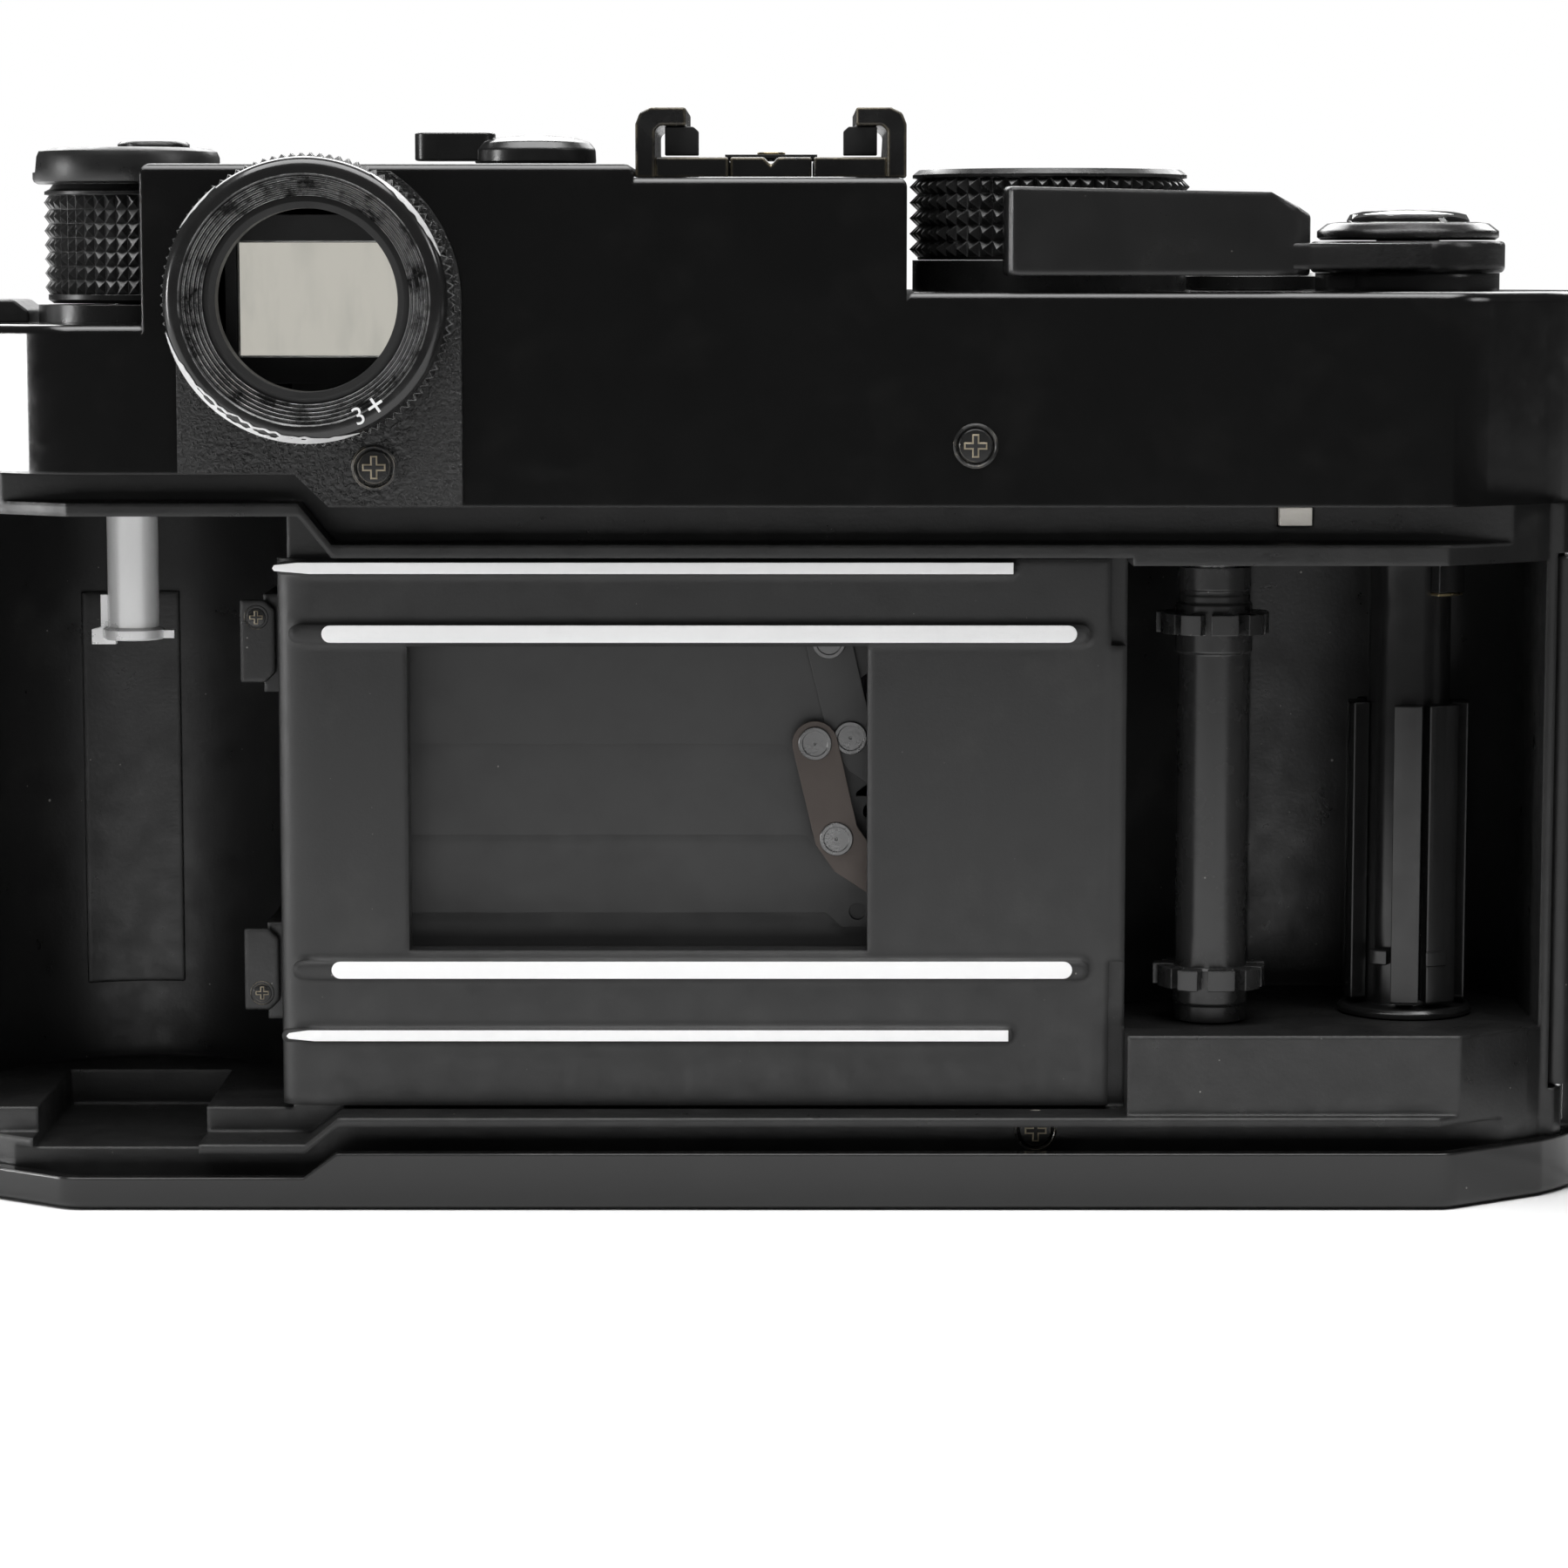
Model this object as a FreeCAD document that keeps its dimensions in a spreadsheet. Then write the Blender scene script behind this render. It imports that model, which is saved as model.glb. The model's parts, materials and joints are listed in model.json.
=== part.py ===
import FreeCAD, Part
import math
import os
import Sketcher

# A 35 mm rangefinder camera that stands on its base with its back door open.
# +Z is up, the lens looks along -Y, and the film door closes the +Y side.
# The origin is the mouth of the tripod socket, straight under the lens axis.

doc = FreeCAD.newDocument("film_camera")
sheet = doc.addObject("Spreadsheet::Sheet", "sizes")


# ---------------------------------------------------------------- sizes


class Size:
    """A number together with the sheet expression that it comes from."""

    def __init__(self, value, text=None):
        self.value = float(value)
        self.text = text if text else repr(float(value))

    def joined(self, sign, other, swap=False):
        first, second = as_size(self), as_size(other)
        if swap:
            first, second = second, first
        results = {
            "+": lambda a, b: a + b,
            "-": lambda a, b: a - b,
            "*": lambda a, b: a * b,
            "/": lambda a, b: a / b,
        }
        value = results[sign](first.value, second.value)
        return Size(value, "(%s %s %s)" % (first.text, sign, second.text))

    def __add__(self, other):
        return self.joined("+", other)

    def __radd__(self, other):
        return self.joined("+", other, swap=True)

    def __sub__(self, other):
        return self.joined("-", other)

    def __rsub__(self, other):
        return self.joined("-", other, swap=True)

    def __mul__(self, other):
        return self.joined("*", other)

    def __rmul__(self, other):
        return self.joined("*", other, swap=True)

    def __truediv__(self, other):
        return self.joined("/", other)

    def __neg__(self):
        return Size(0.0).joined("-", self)


def as_size(amount):
    return amount if isinstance(amount, Size) else Size(amount)


class Sizes:
    """The driving dimensions. Each one is a cell of the sheet with an alias."""

    def __init__(self):
        self.row = 0

    def add(self, **cells):
        for name, value in cells.items():
            self.row += 1
            sheet.set("A%d" % self.row, name)
            sheet.set("B%d" % self.row, str(value))
            sheet.setAlias("B%d" % self.row, name)
            setattr(self, name, Size(value, "sizes." + name))


s = Sizes()

# The whole body. Its ends aren't the same distance from the lens axis.
s.add(body_length=135.5, body_middle=-9.45, front_depth=15.8, rear_depth=17.0)
s.add(flat_ends=28.0, facet_run=8.1, facet_depth=5.5, end_rear_radius=17.4, end_centre=-1.5)
s.add(kink_round=3.0, cover_kink_round=9.0)
s.back_flat = s.body_length - s.flat_ends
s.add(cover_wall=1.2, fit=0.1, skin=0.8, gap=0.15, shaft_end_length=4.0)

# Heights of the shells.
s.add(base_edge=4.5, base_edge_latch=2.6, top_edge=54.8, top_edge_latch=57.3)
s.add(left_deck=68.7, right_deck=71.2, hump_top=80.9, shoe_seat=79.9)
s.add(hump_left=37.5, hump_right=20.8, seat_overlap=1.0, latch_step=23.4, step_run=2.6, edge_round=0.8)

# Film gate and rails.
s.add(film_plane=12.0, gate_width=36.0, gate_height=24.0, lens_height=31.65)
s.add(plate_left=28.2, plate_right=38.2, plate_low=7.3, plate_high=50.5, plate_thick=1.5)
s.add(rail_proud=0.5, inner_rail=1.44, inner_rail_gap=0.3, inner_rail_left=24.6, inner_rail_right=34.3)
s.add(outer_rail=0.9, outer_rail_gap=5.7, outer_rail_left=28.0, outer_rail_right=29.3, outer_proud=0.2)
s.add(plate_key=1.2, plate_key_low=18.8, plate_key_high=43.7)

# Light trap ribs, and the grooves that the door's lips drop into.
s.add(rib_low=6.3, rib_low_thick=0.7, rib_high=50.8, rib_high_thick=1.0, groove_floor=11.6)
s.add(latch_rib_low=4.2, latch_rib_high=54.0)

# The tab in the upper groove that the closing door pushes in.
s.add(tab_left=-52.4, tab_right=-49.9, tab_low=53.15, tab_high=54.55, tab_front=7.0, tab_stroke=1.2)
s.add(tab_proud=1.1)

# Cartridge chamber.
s.add(chamber_x=41.0, chamber_y=0.0, chamber_radius=13.6, chamber_floor=6.9, chamber_ceiling=54.0)
s.add(key_notch=13.4, key_notch_depth=2.9, pad_width=2.6, pad_height=7.8, pad_rear=4.0)
s.add(pad_low_z=16.9, pad_high_z=43.3)

# Take-up chamber, spool and sprocket.
s.add(takeup_floor=13.3, takeup_ceiling=50.2, takeup_wall=71.3, takeup_front=10.6, takeup_corner=9.0)
s.add(spool_x=-61.6, spool_y=1.8, spool_core=3.3, spool_barrel=4.9, spool_flange=6.0)
s.add(spool_core_end=38.6, spool_slot=1.1, spool_slot_low=4.0, spool_shaft=1.5, spool_flange_thick=1.2)
s.add(sprocket_x=-45.5, sprocket_y=6.0, sprocket_shaft=2.8, sprocket_drum=3.78, sprocket_tip=4.6)
s.add(sprocket_upper=45.15, film_pitch=28.17, sprocket_tooth=1.1, sprocket_rim=1.1, sprocket_collar=1.2)
s.add(sprocket_teeth=5, sprocket_pad=0.3)

# Front plate, shutter and lens mount.
s.add(front_plate_thick=2.8, front_plate_lap=1.8, bay_left=26.2, bay_right=35.5, bay_low=5.0, bay_high=51.5)
s.add(bay_rear=8.8, mount_radius=22.5, mount_bore=19.0, mount_proud=1.0, mount_sleeve=20.4)
s.add(blade_thick=0.15, blade_pitch=0.32, blade_rear=7.45, blade_left=18.6, blade_end=5.6)
s.add(arm_thick=0.25, arm_half=1.2, rivet=1.1, rivet_proud=0.2, pin=0.6, pin_fit=0.08)
s.add(arm_x=-31.0, arm_z=18.5, arm_shift_x=-1.1, arm_shift_z=8.0)
s.add(blade_notch=1.2, blade_waist=1.6, blade_shoulder=3.6, blade_crest=6.6)
s.add(shutter_frame_front=4.3, shutter_frame_thick=1.0, shutter_frame_lap=2.5)
s.add(pivot_post=0.8, pivot_depth=0.7, arm_step=0.5)

# Lens.
s.add(barrel_radius=23.0, barrel_length=6.0, barrel_tail=16.6, tail_length=9.0, sleeve_radius=19.6)
s.add(focus_radius=25.0, focus_length=11.0, aperture_radius=22.8, aperture_length=6.0, ring_gap=0.2)
s.add(nose_radius=21.5, nose_length=5.0, lens_bore=14.5, filter_bore=19.0, filter_depth=3.0)
s.add(front_glass_thick=5.0, rear_glass_thick=4.0, glass_fit=0.01)

# Eyepiece and finder.
s.add(eye_x=24.6, eye_z=70.6, eye_ring=10.4, eye_skirt=10.8, eye_bore=7.1, eye_mouth=9.1, eye_proud=5.0)
s.add(eye_plate_thick=1.0, eye_plate_left=34.8, eye_plate_round=11.5, eye_glass=1.2, eye_inset=0.7)
s.add(eye_skirt_step=1.6, eye_bevel=0.3, eye_seat=1.0, eye_thread=0.6, eye_thread_step=1.2, eye_tube=2.0)
s.add(window_width=12.4, window_height=9.0, finder_width=14.2, finder_height=13.0, finder_window=10.0)
s.add(finder_window_width=15.0, range_window_x=-6.0, range_window=5.0, front_glass_step=0.4, pane=1.2)
s.add(finder_front=2.0, finder_arm=9.0, finder_foot_front=3.0, finder_foot_rear=12.0)

# Top controls.
s.add(shoe_width=20.9, shoe_depth=18.5, shoe_height=5.4, shoe_wall=1.5, shoe_lip=3.9, shoe_floor=1.6)
s.add(shoe_x=-10.45, shoe_y=2.6, lip_thick=1.4, contact=1.1, contact_thick=0.25)
s.add(insulator_width=7.2, insulator_depth=8.4, insulator_thick=0.3, leaf_thick=0.3, leaf_side=0.2)
s.add(leaf_front=1.2, leaf_bend=3.0, leaf_rear=1.0)
s.add(selector_x=8.2, selector_y=2.0, selector_radius=4.8, selector_height=2.5, selector_lever=9.6)
s.add(selector_width=3.6, dial_room=0.7, dial_y=0.0, dial_radius=11.1, dial_base=2.4, dial_height=7.0)
s.add(dial_shaft=2.0, dial_base_inset=0.2, dial_bevel=0.6, dial_rim=2.4, dial_sink=0.3)
s.add(lever_room=11.8, lever_y=0.0, lever_radius=7.7, lever_low=72.7, lever_plate=2.4, lever_cap=1.5)
s.add(lever_near=28.3, lever_far=51.9, lever_tip_low=72.4, lever_tip_high=79.2, lever_tip_room=1.1)
s.add(lever_post=2.5, lever_tip_thick=4.2, lever_slot_side=0.6, lever_arm_inset=0.2, lever_reach=8.0)
s.add(counter_radius=4.9, counter_dome=0.8, counter_thick=0.3, counter_well=0.4, lever_cap_bevel=0.5)
s.add(release_room=5.7, release_y=-9.2, release_collar=4.6, release_button=3.3, release_collar_top=77.0)
s.add(release_top=78.6, cable_thread=1.0, cable_thread_depth=4.0, release_low=2.0, release_bevel=0.4)

# The dial stands beside the hump, the release beside the dial, and the lever beside the release.
s.dial_x = -(s.hump_right + s.dial_radius + s.dial_room)
s.release_x = s.dial_x - s.dial_radius - s.release_room
s.lever_x = s.release_x - s.lever_room
s.lever_tip_rear = s.dial_radius + s.lever_tip_room + s.lever_tip_thick

# Rewind side.
s.add(rewind_x=40.9, rewind_y=0.0, knob_room=0.5, knob_radius=6.6, knob_cap=7.4, knob_low=70.2)
s.add(knob_body_top=79.0, knob_top=82.0, crank_arm=5.0, crank_thick=1.0)
s.add(shaft_radius=1.65, shaft_end=44.2, fork_depth=2.4)
s.add(crank_pivot=4.9, crank_tail=0.5, crank_tip=1.5, crank_room=0.4, crank_pin=0.5, crank_pin_reach=1.5)
s.add(crank_handle=2.9, crank_handle_x=2.2, sleeve_low=0.5)
s.add(handle_thick=1.0, handle_pin=0.8, sleeve=2.6, shaft_collar=1.6, shaft_foot=0.8, fork_thick=1.2)

# Door.
s.add(door_wall=1.5, door_front=9.0, hinge_inset=4.1, hinge_y=7.4, hinge_pin=0.5, knuckle=1.2, knuckle_gap=0.3)
s.add(hinge_relief=2.4, hinge_wall=0.3, bridge_reach=0.8)
s.add(knuckle_low=8.5, knuckle_high=50.5, door_open=120.0, lip_depth=2.6, lip_wall=1.1, lip_rise=0.7)
s.add(lip_end=1.0, lip_latch_end=2.0, lip_overlap=0.2, door_skin_margin=1.2)
s.add(pressure_width=56.0, pressure_height=37.6, pressure_thick=1.2, pressure_gap=0.15, leaf=0.25)
s.add(leaf_foot=6.0, leaf_spread=12.0, leaf_half=2.5)

# The hinge keeps its distance from the end of the body.
s.hinge_x = s.body_middle - s.body_length / 2 + s.hinge_inset
s.hinge_relief_x = s.hinge_x - s.hinge_wall

# Underside.
s.add(socket_radius=2.58, socket_depth=6.0, socket_outer=5.0, battery_radius=9.0, battery_x=32.0)
s.add(battery_slot=1.6, battery_slot_depth=0.6, rewind_button_low=0.3, rewind_button_high=4.2, bush_inset=0.2)
s.add(screw_proud=0.2, rewind_button_x=-52.0, rewind_button=2.6, foot_lug=2.2, lug_length=3.0, lug_neck=2.4)
s.add(lug_z=49.0, screw_head=0.6, screw_length=2.5, cross_depth=0.35)

# ---------------------------------------------------------------- helpers

PLANES = {"XY": "XY_Plane", "XZ": "XZ_Plane", "YZ": "YZ_Plane"}
TO_FRONT = FreeCAD.Rotation(FreeCAD.Vector(1, 0, 0), 90)
TO_REAR = FreeCAD.Rotation(FreeCAD.Vector(1, 0, 0), -90)


def bind(thing, prop, amount):
    """Tie one property of an object to the sheet."""
    thing.setExpression(prop, as_size(amount).text)


def place(thing, x=0.0, y=0.0, z=0.0, rotation=None):
    """Put an object at a place that the sheet drives."""
    if rotation:
        thing.Placement = FreeCAD.Placement(FreeCAD.Vector(), rotation)
    for name, amount in (("x", x), ("y", y), ("z", z)):
        bind(thing, "Placement.Base." + name, amount)


def swing(thing, hinge_x, hinge_y, angle):
    """Turn an object about an upright axis, by an angle that the sheet drives."""
    thing.Placement = FreeCAD.Placement(FreeCAD.Vector(), FreeCAD.Rotation(FreeCAD.Vector(0, 0, 1), 1))
    bind(thing, "Placement.Rotation.Angle", angle)
    turn = {name: "%s(%s * 1deg)" % (name, as_size(angle).text) for name in ("cos", "sin")}
    parts = {"cos": turn["cos"], "sin": turn["sin"], "x": hinge_x.text, "y": hinge_y.text}
    thing.setExpression("Placement.Base.x", "%(x)s - %(cos)s * %(x)s + %(sin)s * %(y)s" % parts)
    thing.setExpression("Placement.Base.y", "%(y)s - %(sin)s * %(x)s - %(cos)s * %(y)s" % parts)


def pin_point(sketch, geometry, end, point):
    """Hold one end of a sketched line at a point, by its two distances from the origin."""
    for kind, amount in (("DistanceX", point[0]), ("DistanceY", point[1])):
        amount = as_size(amount)
        constraint = Sketcher.Constraint(kind, -1, 1, geometry, end, amount.value)
        index = sketch.addConstraint(constraint)
        sketch.setExpression("Constraints[%d]" % index, amount.text)


def arc_middle(start, end, radius):
    """The middle of an arc that bulges to the right of the way from start to end."""
    chord = end - start
    half = chord.Length / 2
    reach = abs(radius)
    rise = reach - math.sqrt(max(reach * reach - half * half, 0.0))
    side = FreeCAD.Vector(chord.y, -chord.x, 0).normalize()
    return (start + end) * 0.5 + side * math.copysign(rise, radius)


def outline(sketch, points):
    """Draw a closed outline. A point's third value is the radius of the arc that leaves it:
    the arc bulges to the right of its way when the radius is positive, and to the left when not."""
    corners = [FreeCAD.Vector(as_size(p[0]).value, as_size(p[1]).value, 0) for p in points]
    ends = []
    for number, point in enumerate(points):
        start, end = corners[number], corners[(number + 1) % len(points)]
        if len(point) > 2:
            radius = as_size(point[2])
            curve = Part.Arc(start, arc_middle(start, end, radius.value), end)
            index = sketch.addGeometry(curve, False)
            forward = sketch.Geometry[index].StartPoint.distanceToPoint(start) < 1e-6
            ends.append((index, 1, 2) if forward else (index, 2, 1))
            rounding = sketch.addConstraint(Sketcher.Constraint("Radius", index, abs(radius.value)))
            size_text = radius.text if radius.value > 0 else (-radius).text
            sketch.setExpression("Constraints[%d]" % rounding, size_text)
        else:
            index = sketch.addGeometry(Part.LineSegment(start, end), False)
            ends.append((index, 1, 2))
    for number, point in enumerate(points):
        index, first, last = ends[number]
        following, opening, closing = ends[(number + 1) % len(points)]
        sketch.addConstraint(Sketcher.Constraint("Coincident", index, last, following, opening))
        pin_point(sketch, index, first, point)


def disc(sketch, x, y, radius):
    """Draw a circle."""
    x, y, radius = as_size(x), as_size(y), as_size(radius)
    circle = Part.Circle(FreeCAD.Vector(x.value, y.value, 0), FreeCAD.Vector(0, 0, 1), radius.value)
    index = sketch.addGeometry(circle, False)
    rounding = sketch.addConstraint(Sketcher.Constraint("Radius", index, radius.value))
    sketch.setExpression("Constraints[%d]" % rounding, radius.text)
    pin_point(sketch, index, 3, (x, y))


def rectangle(left, right, low, high):
    return [(left, low), (right, low), (right, high), (left, high)]


def new_body(label):
    body = doc.addObject("PartDesign::Body", label)
    body.Label = label
    return body


def body_sketch(body, plane, level):
    """A sketch on an origin plane of the body, moved to a level along the axis that crosses it."""
    sketch = body.newObject("Sketcher::SketchObject", body.Name + "_sketch")
    role = PLANES[plane]
    origin = [item for item in body.Origin.OriginFeatures if item.Role == role][0]
    sketch.AttachmentSupport = [(origin, "")]
    sketch.MapMode = "FlatFace"
    level = as_size(level)
    bind(sketch, "AttachmentOffset.Base.z", -level if plane == "XZ" else level)
    return sketch


def draw(sketch, shapes):
    """Draw outlines and, where a shape is a plain (x, y, radius) triple, circles."""
    for shape in shapes:
        if isinstance(shape, tuple):
            disc(sketch, *shape)
        else:
            outline(sketch, shape)


def pad(body, plane, shapes, low, high):
    """Add material between two levels."""
    sketch = body_sketch(body, plane, low)
    draw(sketch, shapes)
    feature = body.newObject("PartDesign::Pad", body.Name + "_pad")
    feature.Profile = sketch
    feature.Reversed = plane == "XZ"
    bind(feature, "Length", as_size(high) - low)
    return feature


def pocket(body, plane, shapes, low, high):
    """Cut material away between two levels, and make sure that something was cut."""
    doc.recompute()
    before = body.Shape.Volume
    sketch = body_sketch(body, plane, low)
    draw(sketch, shapes)
    feature = body.newObject("PartDesign::Pocket", body.Name + "_pocket")
    feature.Profile = sketch
    feature.Reversed = plane != "XZ"
    bind(feature, "Length", as_size(high) - low)
    doc.recompute()
    if body.Shape.Volume >= before:
        raise RuntimeError("a pocket of %s cuts nothing" % body.Label)
    return feature


def slab(label, plane, shapes, low, high):
    """A flat piece: an outline, with holes, between two levels."""
    body = new_body(label)
    pad(body, plane, shapes, low, high)
    return body


def turned(label, profile, x, y, z, rotation=None):
    """A turned piece: a profile of (radius, height) points, spun about the piece's own axis."""
    body = new_body(label)
    sketch = body_sketch(body, "XZ", 0.0)
    outline(sketch, profile)
    feature = body.newObject("PartDesign::Revolution", label + "_spin")
    feature.Profile = sketch
    feature.ReferenceAxis = (sketch, ["V_Axis"])
    feature.Angle = 360
    place(body, x, y, z, rotation)
    return body


def stepped(*steps, bore=0.0):
    """The profile of a turned piece, from (radius, low, high) steps that sit on each other."""
    points = [(bore, steps[0][1])]
    for radius, low, high in steps:
        points += [(radius, low), (radius, high)]
    points.append((bore, steps[-1][2]))
    return points


def box(label, left, right, front, rear, low, high):
    piece = doc.addObject("Part::Box", label)
    piece.Label = label
    bind(piece, "Length", as_size(right) - left)
    bind(piece, "Width", as_size(rear) - front)
    bind(piece, "Height", as_size(high) - low)
    place(piece, left, front, low)
    return piece


def cylinder(label, radius, length, x, y, z, rotation=None):
    piece = doc.addObject("Part::Cylinder", label)
    piece.Label = label
    bind(piece, "Radius", radius)
    bind(piece, "Height", length)
    place(piece, x, y, z, rotation)
    return piece


def prism(label, plane, shapes, low, high):
    """An upright or a level prism: an outline drawn at one level and drawn out to another."""
    upright = plane == "XY"
    turn = FreeCAD.Rotation() if upright else TO_FRONT
    sketch = doc.addObject("Sketcher::SketchObject", label + "_sketch")
    place(sketch, 0.0, 0.0 if upright else low, low if upright else 0.0, turn)
    draw(sketch, shapes)
    piece = doc.addObject("Part::Extrusion", label)
    piece.Label = label
    piece.Base = sketch
    piece.DirMode = "Custom"
    piece.Dir = FreeCAD.Vector(0, 0, 1) if upright else FreeCAD.Vector(0, 1, 0)
    piece.Solid = True
    bind(piece, "LengthFwd", as_size(high) - low)
    return piece


def cut(label, whole, *tools):
    """Take tools away from a piece."""
    tool = tools[0]
    if len(tools) > 1:
        tool = doc.addObject("Part::MultiFuse", label + "_tools")
        tool.Shapes = list(tools)
    piece = doc.addObject("Part::Cut", label)
    piece.Label = label
    piece.Base = whole
    piece.Tool = tool
    piece.Refine = True
    return piece


def fuse(label, *pieces):
    whole = doc.addObject("Part::MultiFuse", label)
    whole.Label = label
    whole.Shapes = list(pieces)
    whole.Refine = True
    return whole


def common(label, *pieces):
    whole = doc.addObject("Part::MultiCommon", label)
    whole.Label = label
    whole.Shapes = list(pieces)
    whole.Refine = True
    return whole


def grouped(label, *pieces):
    """Several solids that share one file."""
    group = doc.addObject("Part::Compound", label)
    group.Label = label
    group.Links = list(pieces)
    return group


def rounded(label, piece, radius, wanted):
    """Round the edges of a piece that a test picks out."""
    doc.recompute()
    edges = [n for n, edge in enumerate(piece.Shape.Edges, 1) if wanted(edge)]
    fillet = doc.addObject("Part::Fillet", label)
    fillet.Label = label
    fillet.Base = piece
    fillet.Edges = [(n, as_size(radius).value, as_size(radius).value) for n in edges]
    return fillet


# ---------------------------------------------------------------- the body's outline

# Planes beyond the whole camera, for tools that cut right through it, and how far a tool overshoots.
FRONT, REAR, LEFT, RIGHT, BOTTOM, TOP = -60.0, 60.0, 90.0, -110.0, -5.0, 90.0
PAST = 1.0
THROUGH = 20.0

# How far the back's kinks and corners move as the outline is drawn inwards by one.
KINK_SHIFT, CORNER_SHIFT_X, CORNER_SHIFT_Y = 0.31, 0.61, 0.79


def plan(inset):
    """The body seen from above: a flat back with two facets, round ends and a flat front."""
    half = s.body_length / 2
    kink = s.back_flat / 2 - KINK_SHIFT * inset
    corner = s.back_flat / 2 + s.facet_run - CORNER_SHIFT_X * inset
    rear = s.rear_depth - inset
    corner_y = s.rear_depth - s.facet_depth - CORNER_SHIFT_Y * inset
    end = half - inset
    front_radius = s.front_depth + s.end_centre - inset
    rear_radius = s.end_rear_radius - inset
    front = -(s.front_depth - inset)
    middle = s.body_middle
    return [
        (middle + kink, rear),
        (middle - kink, rear),
        (middle - corner, corner_y, rear_radius),
        (middle - end, s.end_centre, front_radius),
        (middle - end + front_radius, front),
        (middle + end - front_radius, front, front_radius),
        (middle + end, s.end_centre, rear_radius),
        (middle + corner, corner_y),
    ]


def body_prism(label, inset, low, high, softness=None):
    """A slice of the body between two heights, with its upright edges softened."""

    def upright(edge):
        return edge.BoundBox.XLength < 0.01 and edge.BoundBox.YLength < 0.01

    blank = prism(label + "_blank", "XY", [plan(as_size(inset))], low, high)
    return rounded(label, blank, softness if softness else s.kink_round, upright)


def latch_line(low, high):
    """The stepped line that the door follows along its top and bottom edges on the latch side."""
    return [(RIGHT, low), (s.latch_step, low), (s.latch_step + s.step_run, high), (LEFT, high)]


MADE = []


def finished(*pieces):
    """Note the sub-parts that get a file of their own."""
    MADE.extend(pieces)


# ---------------------------------------------------------------- the shells


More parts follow.
